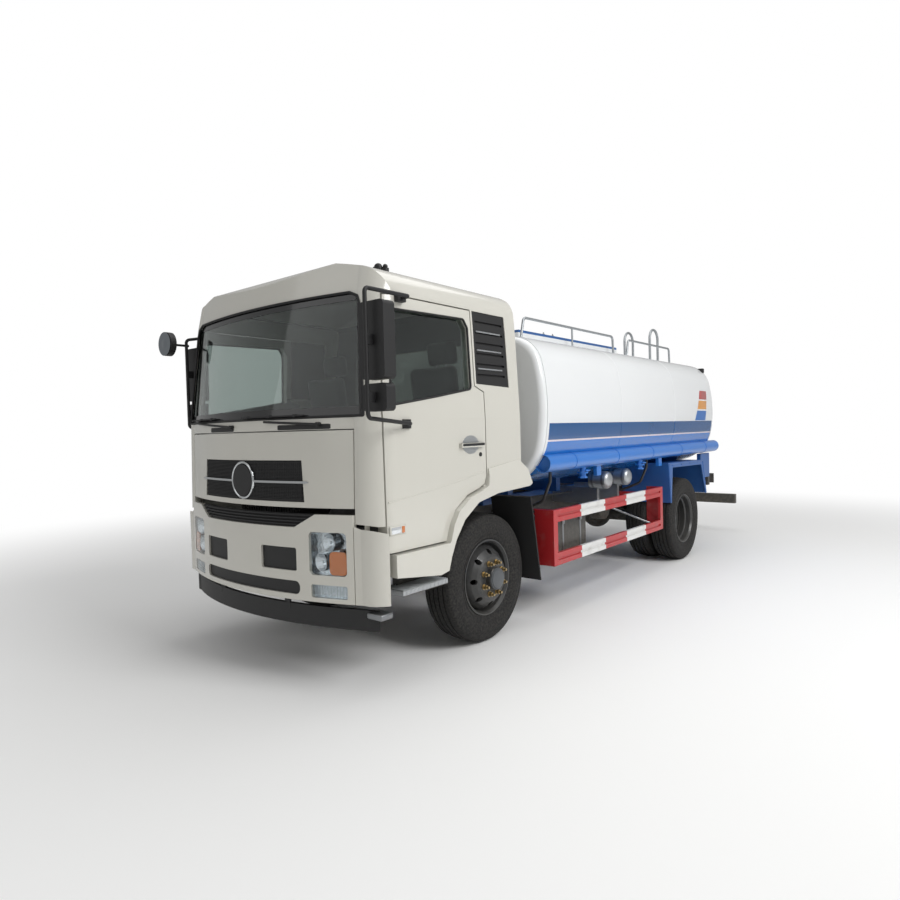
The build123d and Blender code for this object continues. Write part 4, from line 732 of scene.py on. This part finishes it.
# Fitting columns: X, Y, top, radius of the dome
FITTINGS = [(0.783, -3.267, 2.862, 0.03), (0.836, -3.251, 2.85, 0.018)]
bm = bmesh.new()
for x, y, top, r in FITTINGS:
    rod(bm, (x, y, ROOF_Z), (x, y, top - 0.03), r + 0.008, 20)
    bmesh.ops.create_uvsphere(bm, u_segments=20, v_segments=12, radius=r,
                              matrix=Matrix.Translation((x, y, top - r)))
new_piece("roof_fittings", bm, black_plastic, "cab", sharp=50)

# Seats: foam cushions in woven grey cloth on black pedestals. Each cushion is crowned, pulls in along its
# sides, and has sewn channels. The head rest stands on two bright steel posts.
SEAT_X = 0.655
SIDES = (("left", 1), ("right", -1))
EDGE_ROUND = 0.42
PULL_IN = (0.035, 0.03)
CHANNEL_DEPTH = 0.011
CHANNEL_WIDTH = 0.035
# Pedestal columns: half width, low Y and Z, high Y and Z, bevel
PEDESTAL = [(0.16, (-2.95, 1.252), (-2.57, 1.42), 0.02), (0.2, (-3.02, 1.395), (-2.6, 1.425), 0.012)]
POST_OUT = 0.05
POST_FOOT = (-2.49, 2.0)
POST_TOP = (-2.445, 2.26)
# Cushion columns: name, width, depth, thickness, middle Y, middle Z, lean, crown, channels
CUSHIONS = [("base", 0.45, 0.44, 0.15, -2.806, 1.488, 3, 0.03, (-0.35, 0.0, 0.35)),
            ("back", 0.45, 0.66, 0.13, -2.52, 1.86, 98, 0.025, (-0.5, -0.2, 0.1, 0.4)),
            ("head", 0.28, 0.19, 0.1, -2.44, 2.3, 98, 0.015, ())]


def cushion(bm, size, centre, lean, crown, channels):
    """A crowned cushion that faces +Z before it leans. Channels are sewn across at shares of its depth."""
    made = bmesh.ops.create_cube(bm, size=1.0)
    edges = list({edge for vert in made["verts"] for edge in vert.link_edges})
    bmesh.ops.subdivide_edges(bm, edges=edges, cuts=15, use_grid_fill=True)
    half = Vector(size) / 2
    radius = min(size) * EDGE_ROUND
    turn = Matrix.Translation(centre) @ Matrix.Rotation(radians(lean), 4, "X")
    for vert in bm.verts:
        spot = Vector([c * s for c, s in zip(vert.co, size)])
        core = Vector([max(-h + radius, min(h - radius, c)) for c, h in zip(spot, half)])
        away = spot - core
        if away.length > 0:
            spot = core + away.normalized() * radius
        u, v = spot.x / half.x, spot.y / half.y
        spot.x *= 1 - PULL_IN[0] * (1 - v * v)
        spot.y *= 1 - PULL_IN[1] * (1 - u * u)
        if spot.z > 0:
            spot.z += crown * (1 - u * u) * (1 - v * v)
            for share in channels:
                spot.z -= CHANNEL_DEPTH * exp(-((v - share) / CHANNEL_WIDTH) ** 2) * (1 - u ** 6)
        vert.co = turn @ spot


# Woven cloth: matt, with a soft sheen at its edges and a weave of about 2 mm.
seat_cloth, tree, shader = start_material("woven_seat_cloth", "#3c3d42", 0.9, Sheen_Weight=0.3)
place = add_node(tree, "ShaderNodeTexCoord").outputs["Object"]
weave = add_node(tree, "ShaderNodeTexNoise", {"Vector": place, "Scale": 600.0, "Detail": 2.0})
bump = add_node(tree, "ShaderNodeBump", {"Height": weave.outputs["Fac"], "Strength": 0.3, "Distance": 0.0005})
tree.links.new(bump.outputs[0], shader.inputs["Normal"])
seat_steel = plain_material("seat_post_steel", "#9a9da0", 0.3, 1.0)
bm = bmesh.new()
for way in (-1, 1):
    x = way * SEAT_X
    for half, low, high, bevel in PEDESTAL:
        block(bm, (x - half, *low), (x + half, *high), bevel, 2)
    for post in (-POST_OUT, POST_OUT):
        rod(bm, (x + post, *POST_FOOT), (x + post, *POST_TOP), 0.006, 10, coat=1)
new_piece("seat_pedestals", bm, [black_plastic, seat_steel], "cab", replaces=("seats",))
for name, width, depth, thick, y, z, lean, crown, channels in CUSHIONS:
    for side, way in SIDES:
        bm = bmesh.new()
        cushion(bm, (width, depth, thick), (way * SEAT_X, y, z), lean, crown, channels)
        seat = new_piece("seat_%s_%s" % (name, side), bm, seat_cloth, "cab", sharp=60)

# Dashboard: a moulded shell with an instrument hood ahead of the wheel, and black air vents and a switch
# panel let into its face.
# Dash block columns: low corner, high corner, bevel, segments, coat
DASH_BLOCKS = [((0.36, -3.56, 1.735), (0.76, -3.4, 1.79), 0.02, 3, 0),
               ((0.385, -3.405, 1.74), (0.735, -3.398, 1.782), 0.002, 1, 1),
               ((-0.2, -3.405, 1.56), (0.26, -3.385, 1.725), 0.01, 2, 1)]
VENT_XS = (-0.9, -0.55, 0.0, 0.95)
VENT_HALF = 0.07
VENT_Z = (1.65, 1.69)
SLATS = 4
SLAT_HALF = 0.062
SLAT_STEP = 0.01
bm = bmesh.new()
for low, high, bevel, segments, coat in DASH_BLOCKS:
    block(bm, low, high, bevel, segments, coat)
for x in VENT_XS:
    block(bm, (x - VENT_HALF, -3.42, VENT_Z[0]), (x + VENT_HALF, -3.395, VENT_Z[1]), 0.004, coat=1)
    for i in range(SLATS):
        z = VENT_Z[0] + 0.005 + i * SLAT_STEP
        block(bm, (x - SLAT_HALF, -3.397, z), (x + SLAT_HALF, -3.391, z + 0.0035), 0.0)
new_piece("dash_details", bm, [dash_plastic, black_plastic], "cab")

# Front grille: a black net of thin bars fills the opening in the front panel, with one bright bar across it
# and a bright ring round a plain dark disc at its middle. The panel bows across the truck, and these pieces
# follow it.
# Skin columns: height, Y at the middle, end of the bow in X, radius of the bow
CAB_SKIN = [(0.745, -3.913, 0.97, 2.6), (1.765, -3.888, 0.97, 2.6), (2.56, -3.741, 0.942, 4.0)]
BUMPER_SKIN = [(0.5, -3.919, 1.015, 2.6), (1.2, -3.919, 1.015, 2.6)]
SKIN_CORNER_R = 0.18
GRILLE_X = 0.58
GRILLE_Z = (1.236, 1.493)
NET_ROWS = 25
NET_COLUMNS = 72
NET_HALF = 0.0018
BAR_HALF = 0.635
BAR_Z = (1.35, 1.365)
ROUNDEL_Z = 1.362
ROUNDEL_R = 0.125
RING_HALF = 0.009
RING_POINTS = 10


def bow(share, end, radius):
    """How far a bowed edge has turned back at a share of the way to its end."""
    sag = end * end / (2 * radius)
    true_r = (end * end + sag * sag) / (2 * sag)
    return true_r - sqrt(true_r ** 2 - (share * end) ** 2)


def skin_y(x, z, levels=CAB_SKIN):
    """Y of the cab's outer skin at the front."""
    for low, high in zip(levels, levels[1:]):
        if z <= high[0]:
            break
    t = (z - low[0]) / (high[0] - low[0])
    end = low[2] + t * (high[2] - low[2])
    share = min(1.0, abs(x) / end)
    y0 = low[1] + bow(share, low[2], low[3])
    y1 = high[1] + bow(share, high[2], high[3])
    past = min(SKIN_CORNER_R, max(0.0, abs(x) - end))
    return y0 + t * (y1 - y0) + SKIN_CORNER_R - sqrt(SKIN_CORNER_R ** 2 - past ** 2)


def bowed_strip(bm, x, z, out, depth, surface=skin_y, steps=24, rows=1, coat=0, corner=0.0):
    """A strip that follows a bowed surface and stands out from it, with a depth and rounded corners."""
    half = ((x[1] - x[0]) / 2, (z[1] - z[0]) / 2)
    middle = ((x[0] + x[1]) / 2, (z[0] + z[1]) / 2)
    made = bmesh.ops.create_grid(bm, x_segments=steps, y_segments=rows, size=1.0)
    faces = {face for vert in made["verts"] for face in vert.link_faces}
    for vert in made["verts"]:
        dx, dz = vert.co.x * half[0], vert.co.y * half[1]
        u, v = (abs(dx) - half[0] + corner, abs(dz) - half[1] + corner)
        if corner and u > 0 and v > 0:
            u, v = u / corner, v / corner
            dx = (half[0] - corner + corner * u * sqrt(1 - v * v / 2)) * (1 if dx > 0 else -1)
            dz = (half[1] - corner + corner * v * sqrt(1 - u * u / 2)) * (1 if dz > 0 else -1)
        place = (middle[0] + dx, middle[1] + dz)
        vert.co = Vector((place[0], surface(*place) - out, place[1]))
    back = bmesh.ops.extrude_face_region(bm, geom=list(faces), use_keep_orig=True)
    moved = [item for item in back["geom"] if isinstance(item, bmesh.types.BMVert)]
    bmesh.ops.translate(bm, vec=(0, depth, 0), verts=moved)
    for vert in made["verts"] + moved:
        for face in vert.link_faces:
            face.material_index = coat
    return made["verts"] + moved


chrome = plain_material("bright_plating", "#d5d8da", 0.12, 1.0)
bm = bmesh.new()
for i in range(NET_ROWS):
    z = GRILLE_Z[0] + (i + 0.5) * (GRILLE_Z[1] - GRILLE_Z[0]) / NET_ROWS
    bowed_strip(bm, (-GRILLE_X, GRILLE_X), (z - NET_HALF, z + NET_HALF), -0.002, 0.004)
for i in range(NET_COLUMNS):
    x = -GRILLE_X + (i + 0.5) * 2 * GRILLE_X / NET_COLUMNS
    bowed_strip(bm, (x - NET_HALF, x + NET_HALF), GRILLE_Z, -0.003, 0.003, steps=1)
new_piece("grille_net", bm, black_plastic, "service_panel")
bm = bmesh.new()
bowed_strip(bm, (-BAR_HALF, BAR_HALF), BAR_Z, 0.007, 0.012, steps=40, rows=2, corner=0.006)
new_piece("grille_bar", bm, chrome, "service_panel")
back_y = skin_y(0, ROUNDEL_Z) + 0.006
ring_angles = [2 * pi * i / RING_POINTS for i in range(RING_POINTS)]
ring = [(RING_HALF * sin(angle), ROUNDEL_R + RING_HALF * cos(angle)) for angle in ring_angles]
bm = bmesh.new()
rod(bm, (0, back_y, ROUNDEL_Z), (0, back_y - 0.014, ROUNDEL_Z), ROUNDEL_R - 0.012, 48, coat=1)
spun(bm, ring, (0, back_y - 0.006, ROUNDEL_Z), 48, axis=(0, 1, 0), closed=True)
new_piece("grille_roundel", bm, [chrome, black_plastic], "service_panel")

# Windscreen surround: a black ceramic band fired on the inside of the glass, and a moulded rubber seal
# lapped over the edge of the frame.
black_band = plain_material("black_glass_band", "#101112", 0.15, Coat_Weight=0.5)
seal_rubber = plain_material("window_seal_rubber", "#161617", 0.6)
SCREEN_Z = (1.787, 2.584)
BAND_IN = 0.0085
SCREEN_LEAN = 0.085
SCREEN_OUTLINE = [(0, 1.785), (1.04, 1.785), (0.975, 2.5), (0.95, 2.56), (0.89, 2.588)]
bm = bmesh.new()
for x, low, high in ((1.03, SCREEN_Z[0], SCREEN_Z[0] + 0.06), (0.93, SCREEN_Z[1] - 0.05, SCREEN_Z[1])):
    bowed_strip(bm, (-x, x), (low, high), -BAND_IN, 0.001)
for way in (-1, 1):
    strip = bowed_strip(bm, (way * 1.003, way * 1.03), (SCREEN_Z[0], 2.56), -BAND_IN, 0.001, steps=2, rows=8)
    for vert in strip:
        vert.co.x -= way * SCREEN_LEAN * (vert.co.z - SCREEN_Z[0])
        vert.co.y = skin_y(vert.co.x, vert.co.z) + BAND_IN
new_piece("screen_band", bm, black_band, "cab")


def on_skin(outline, step=0.08, out=0.002):
    """A route along an outline of (x, z) points, laid on the cab's front."""
    route = []
    for (x0, z0), (x1, z1) in zip(outline, outline[1:]):
        parts = max(1, round(hypot(x1 - x0, z1 - z0) / step))
        for i in range(parts):
            x, z = x0 + (x1 - x0) * i / parts, z0 + (z1 - z0) * i / parts
            route.append((x, skin_y(x, z) - out, z))
    return route + [(outline[-1][0], skin_y(*outline[-1]) - out, outline[-1][1])]


across = SCREEN_OUTLINE + [(-x, z) for x, z in reversed(SCREEN_OUTLINE)]
bm = bmesh.new()
pipe(bm, on_skin(across), 0.009, 0.01, 8)
new_piece("screen_seal", bm, seal_rubber, "cab")

# Wipers: each blade is a rubber lip in a thin black frame, held by three claws, lying low across the glass.
# Blade columns: X from and to, Z
BLADES = [(-0.93, -0.36, 1.806), (0.02, 0.62, 1.8)]
CLAW_SHARES = (0.12, 0.5, 0.88)
bm = bmesh.new()
for x0, x1, z in BLADES:
    bowed_strip(bm, (x0, x1), (z - 0.005, z + 0.005), 0.03, 0.012)
    bowed_strip(bm, (x0, x1), (z - 0.0015, z + 0.0015), 0.018, 0.026)
    for share in CLAW_SHARES:
        x = x0 + share * (x1 - x0)
        bowed_strip(bm, (x - 0.012, x + 0.012), (z - 0.009, z + 0.009), 0.033, 0.02, steps=1)
new_piece("wiper_blades", bm, black_plastic, "cab")

# Headlamps and fog lamps: silvered bowls behind clear moulded covers, let into the bumper. The headlamp has
# two bowls and an amber turn lens in its lower outer quarter, and the fog lamp has ribbed glass.
HEAD_X, HEAD_Z = (0.642, 0.913), (0.754, 1.033)
FOG_X, FOG_Z = (0.652, 0.913), (0.605, 0.688)
AMBER_X, AMBER_Z = (0.79, 0.909), (0.758, 0.91)
# Bowl columns: middle X, middle Z, radius of the mouth
BOWLS = [(0.775, 0.965, 0.058), (0.714, 0.835, 0.056)]
BOWL_DEPTH = 0.07
RIM_IN = 0.02
FOG_RIBS = 12


def bumper_y(x, z):
    """Y of the bumper's outer face."""
    return skin_y(x, z, BUMPER_SKIN)


# Facets of about 20 mm break the silvered reflector's shine into patches.
lamp_silver, tree, shader = start_material("silvered_reflector", "#c9cdd0", 0.18, 0.95)
place = add_node(tree, "ShaderNodeTexCoord")
facets = add_node(tree, "ShaderNodeTexVoronoi", {"Vector": place.outputs["Object"], "Scale": 45.0},
                  distance="CHEBYCHEV")
bump = add_node(tree, "ShaderNodeBump",
                {"Height": facets.outputs["Distance"], "Strength": 0.6, "Distance": 0.004})
tree.links.new(bump.outputs[0], shader.inputs["Normal"])
lamp_cover = plain_material("clear_lamp_cover", "#f2f5f6", 0.03, Transmission_Weight=1.0, IOR=1.2)
amber = plain_material("amber_lens", "#c97743", 0.2, Coat_Weight=0.8)
bm = bmesh.new()
for way in (-1, 1):
    head_x, fog_x, amber_x = [sorted((way * x0, way * x1)) for x0, x1 in (HEAD_X, FOG_X, AMBER_X)]
    for x, z, corner, reach in ((head_x, HEAD_Z, 0.028, 0.075), (fog_x, FOG_Z, 0.013, 0.05)):
        panel = {"surface": bumper_y, "rows": 24, "corner": corner}
        bowed_strip(bm, x, z, -reach, 0.004, **panel)
        rim = bowed_strip(bm, x, z, -RIM_IN, reach - RIM_IN, **panel)
        rim_faces = {face for vert in rim for face in vert.link_faces}
        ends = [face for face in rim_faces if abs(face.normal.y) > 0.5 or face.normal.length == 0]
        bmesh.ops.delete(bm, geom=ends, context="FACES_ONLY")
        bowed_strip(bm, x, z, -0.002, 0.003, coat=1, **panel)
    for x, z, radius in BOWLS:
        centre = (way * x, bumper_y(x, z) + BOWL_DEPTH, z)
        bowl = [(0.0, 0.012), (-0.006, 0.02), (-0.018, 0.034), (-0.034, 0.047), (-0.05, radius),
                (-0.05, radius + 0.004), (0.004, radius + 0.004)]
        spun(bm, bowl, centre, 32, axis=(0, 1, 0))
        rod(bm, centre, (centre[0], centre[1] - 0.03, z), 0.009, 12, coat=1)
    bowed_strip(bm, amber_x, AMBER_Z, -0.006, 0.01, surface=bumper_y, rows=16, corner=0.03, coat=2)
    for i in range(FOG_RIBS):
        x = fog_x[0] + 0.012 + i * (fog_x[1] - fog_x[0] - 0.024) / (FOG_RIBS - 1)
        bowed_strip(bm, (x - 0.004, x + 0.004), (FOG_Z[0] + 0.004, FOG_Z[1] - 0.004), -0.006, 0.004,
                    surface=bumper_y, steps=1, coat=1)
new_piece("lamp_units", bm, [lamp_silver, lamp_cover, amber], "chassis",
          replaces=("front_lamps",))

# Cowl: black plastic covers over the wipers' pivots, clipped into slots under the windscreen.
COVER_XS = ((-0.481, -0.107), (0.372, 0.81))
COVER_Z = (1.706, 1.74)
bm = bmesh.new()
for x in COVER_XS:
    bowed_strip(bm, x, COVER_Z, 0.0002, 0.006, corner=0.012)
new_piece("wiper_covers", bm, black_plastic, "cab")

# Louvre strips: three bright aluminium strips clipped across the air intake behind each door. They lean in
# with the cab's side.
STRIP_X = (1.143, 1.153)
STRIP_Y = (-2.59, -2.275)
STRIP_ZS = (2.135, 2.275, 2.415)
BELT_Z = 1.765
SIDE_LEAN = 0.0478
bm = bmesh.new()
for z in STRIP_ZS:
    lean = (z - BELT_Z) * SIDE_LEAN
    block(bm, (STRIP_X[0] - lean, STRIP_Y[0], z - 0.005), (STRIP_X[1] - lean, STRIP_Y[1], z + 0.005), 0.002)
both_sides(bm)
new_piece("louvre_strips", bm, mill_aluminium, "cab")

# Door furniture: a bright oval cup with a black pull across it, a lock below, and a marker lamp with a
# clear and an amber lens on a fairing in the cab's enamel. All of it is screwed to the door's skin.
CUP_Y, CUP_Z = -2.73, 1.567
CUP_R = 0.068
CUP_STRETCH = 1.45
PULL_Y = (-2.862, -2.588)
LOCK_Y, LOCK_Z = -2.615, 1.49
# Lamp block columns: low corner, high corner, bevel, segments, coat
LAMP_BLOCKS = [((1.135, -3.6, 1.012), (1.157, -3.452, 1.072), 0.007, 3, 2),
               ((1.15, -3.59, 1.02), (1.16, -3.5, 1.064), 0.004, 2, 3),
               ((1.15, -3.494, 1.02), (1.16, -3.466, 1.064), 0.004, 2, 4)]
furniture_coats = [mill_aluminium, black_plastic, cab_paint, lens, amber]
for side, way in SIDES:
    bm = bmesh.new()
    rod(bm, (1.1495, CUP_Y, CUP_Z), (1.1515, CUP_Y, CUP_Z), CUP_R, 40)
    for vert in bm.verts:
        vert.co.y = CUP_Y + (vert.co.y - CUP_Y) * CUP_STRETCH
    block(bm, (1.151, PULL_Y[0], CUP_Z - 0.015), (1.179, PULL_Y[1], CUP_Z + 0.015), 0.009, 3, coat=1)
    rod(bm, (1.149, LOCK_Y, LOCK_Z), (1.156, LOCK_Y, LOCK_Z), 0.0155, 20, coat=1)
    for low, high, bevel, segments, coat in LAMP_BLOCKS:
        block(bm, low, high, bevel, segments, coat)
    if way < 0:
        bmesh.ops.scale(bm, vec=(-1, 1, 1), verts=bm.verts)
    new_piece("door_furniture_" + side, bm, furniture_coats, "door_" + side[0])

# Door windows: a moulded rubber seal laid round each opening, and a ledge pressed in the skin below it,
# which rises towards the back of the door.
SKIN_X = 1.15
# Lines of (y, z) points along the door
SEAL_LINE = [(-3.1, 1.912), (-2.697, 1.977), (-2.697, 2.427), (-2.741, 2.489), (-3.476, 2.473),
             (-3.53, 2.438), (-3.545, 1.847), (-3.1, 1.912)]
LEDGE_LINE = [(-3.6, 1.226), (-3.308, 1.256), (-2.933, 1.3), (-2.57, 1.358)]


def side_x(z):
    """X of the cab's side skin, which leans in above the belt."""
    return SKIN_X - max(0.0, z - BELT_Z) * SIDE_LEAN


for side, way in SIDES:
    bm = bmesh.new()
    pipe(bm, [(way * (side_x(z) - 0.001), y, z) for y, z in SEAL_LINE], 0.008, 0.03, 8)
    new_piece("window_seal_" + side, bm, seal_rubber, "door_" + side[0])
    bm = bmesh.new()
    pipe(bm, [(way * (SKIN_X - 0.0015), y, z) for y, z in LEDGE_LINE], 0.0045, 0.05, 8)
    new_piece("belt_ledge_" + side, bm, cab_paint, "door_" + side[0])

# Mirrors: silvered glass set in the back of each housing, and convex glass on the front of the round one on
# the right, which looks down at the road in front of the bumper.
mirror_glass = plain_material("mirror_glass", "#8b9196", 0.02, 1.0)
MIRROR_X = 1.29
MIRROR_HALF = 0.088
# Arm columns: side, X, Y. Housing columns: name, half depth, low Z, high Z
MIRROR_ARMS = [("left", MIRROR_X, FRONT_Y - 1.4), ("right", -MIRROR_X, FRONT_Y - 1.08)]
HOUSINGS = [("", 0.0475, 1.99, 2.45), ("_low", 0.0375, 1.8, 1.965)]
for side, x, y in MIRROR_ARMS:
    for kind, half_depth, z0, z1 in HOUSINGS:
        bm = bmesh.new()
        bowed_strip(bm, (x - MIRROR_HALF, x + MIRROR_HALF), (z0 + 0.012, z1 - 0.012), 0.0, 0.002,
                    surface=lambda *place: y + half_depth, steps=12, rows=12, corner=0.022)
        new_piece("mirror_glass_" + side + kind, bm, mirror_glass, "door_" + side[0])
ROUND_Y = FRONT_Y - 1.08 - 0.095 - 0.19 - 0.012
ROUND_Z = 2.47
CONVEX = [(0.0, 0.001), (0.002, 0.03), (0.006, 0.06), (0.012, 0.088), (0.004, 0.1)]
bm = bmesh.new()
spun(bm, CONVEX, (-MIRROR_X, ROUND_Y, ROUND_Z), 40, axis=(0, 1, 0))
bmesh.ops.holes_fill(bm, edges=[edge for edge in bm.edges if edge.is_boundary], sides=60)
new_piece("mirror_glass_round", bm, mirror_glass, "door_r")

# Tank seams: two flat weld seams round the shell, under the enamel, where its rolled plates meet.
TANK_SEAMS = (-0.2, 1.3)
TANK_Z = 1.85
SEAM_PROUD = 0.0012
SEAM_WIDTH = 0.02


def ring_at(y, proud, width):
    """A raised strip round the tank at y, made from the shell's own section."""
    section = bmesh.new()
    section.from_mesh(nodes["tank"].data)
    bmesh.ops.remove_doubles(section, verts=section.verts, dist=0.0001)
    cut = bmesh.ops.bisect_plane(section, geom=section.verts[:] + section.edges[:] + section.faces[:],
                                 plane_co=(0, y, 0), plane_no=(0, 1, 0), clear_inner=True, clear_outer=True)
    rim = [item for item in cut["geom_cut"] if isinstance(item, bmesh.types.BMEdge)]
    grown = bmesh.ops.extrude_edge_only(section, edges=rim)
    moved = [item for item in grown["geom"] if isinstance(item, bmesh.types.BMVert)]
    bmesh.ops.translate(section, vec=(0, width, 0), verts=moved)
    bmesh.ops.recalc_face_normals(section, faces=section.faces)
    for vert in section.verts:
        out = Vector((vert.co.x, 0, vert.co.z - TANK_Z)).normalized()
        vert.co += out * (proud if y < vert.co.y < y + width else 0.0)
    bmesh.ops.solidify(section, geom=section.faces[:], thickness=-proud)
    return section


for i, y in enumerate(TANK_SEAMS):
    seam = ring_at(y, SEAM_PROUD, SEAM_WIDTH)
    new_piece("tank_seam_%d" % (i + 1), seam, tank_paint, "chassis")

# Film patches: slanting pieces of reflective film in red, orange and blue, stuck on each flank near the
# rear. Their front and back edges lean with the height, and they follow the flank's curve.
# Film columns: name, colour, low Z, high Z
FILMS = [("red", "#b93a34", 2.0, 2.113), ("orange", "#dd9433", 1.87, 1.981),
         ("blue", "#1f68b4", 1.722, 1.849)]
FILM_TOP_Z = 2.113
FRONT_EDGE_Y, FRONT_EDGE_LEAN = 2.25, 0.588
BACK_EDGE_Y, BACK_EDGE_LEAN = 2.51, 0.23
FLANK_X = 1.188
FLANK_R = 1.7
for film_name, colour, z0, z1 in FILMS:
    film = plain_material("reflective_film_" + film_name, colour, 0.3, Coat_Weight=0.6)
    bm = bmesh.new()
    made = bmesh.ops.create_grid(bm, x_segments=1, y_segments=6, size=0.5)
    for vert in made["verts"]:
        z = z0 + (vert.co.y + 0.5) * (z1 - z0)
        front = FRONT_EDGE_Y - FRONT_EDGE_LEAN * (FILM_TOP_Z - z)
        back = BACK_EDGE_Y - BACK_EDGE_LEAN * (FILM_TOP_Z - z)
        y = front + (vert.co.x + 0.5) * (back - front)
        vert.co = Vector((FLANK_X - FLANK_R + sqrt(FLANK_R ** 2 - (z - TANK_Z) ** 2) + 0.001, y, z))
    bmesh.ops.solidify(bm, geom=bm.faces[:], thickness=0.0008)
    both_sides(bm)
    new_piece("film_" + film_name, bm, film, "chassis")

# Tube clamps: five rolled straps round each hose tube, in the tube's blue, which hold it to the tank's
# bearers.
TUBE_Z = 1.364
TUBE_R = 0.078
TUBE_CLAMP_YS = (-1.2, -0.3, 0.6, 1.5, 2.4)
CLAMP = [(0.0, TUBE_R + 0.0002), (0.0, TUBE_R + 0.004), (0.035, TUBE_R + 0.004), (0.035, TUBE_R + 0.0002)]
bm = bmesh.new()
for y in TUBE_CLAMP_YS:
    spun(bm, CLAMP, (TUBE_X, y, TUBE_Z), 36, axis=(0, 1, 0))
both_sides(bm)
new_piece("tube_clamps", bm, pipe_blue, "chassis")

# Manhole lid: a galvanised plate, with eight bolts round it and a handle bent from round bar.
LID_Y = -0.046
BOLTS = 8
BOLT_CIRCLE_R = 0.262
# Bolt columns: low Z, high Z, radius, sides
LID_BOLT = [(2.717, 2.735, 0.014, 6), (2.735, 2.752, 0.007, 10)]
# Handle columns: X, Z
HANDLE = [(-0.07, 2.731), (-0.07, 2.775), (0.07, 2.775), (0.07, 2.731)]
bm = bmesh.new()
for i in range(BOLTS):
    angle = 2 * pi * (i + 0.5) / BOLTS
    px, py = BOLT_CIRCLE_R * cos(angle), LID_Y + BOLT_CIRCLE_R * sin(angle)
    for z0, z1, radius, sides in LID_BOLT:
        rod(bm, (px, py, z0), (px, py, z1), radius, sides)
pipe(bm, [(x, LID_Y, z) for x, z in HANDLE], 0.007, 0.018)
new_piece("lid_fittings", bm, zinc, "lid")
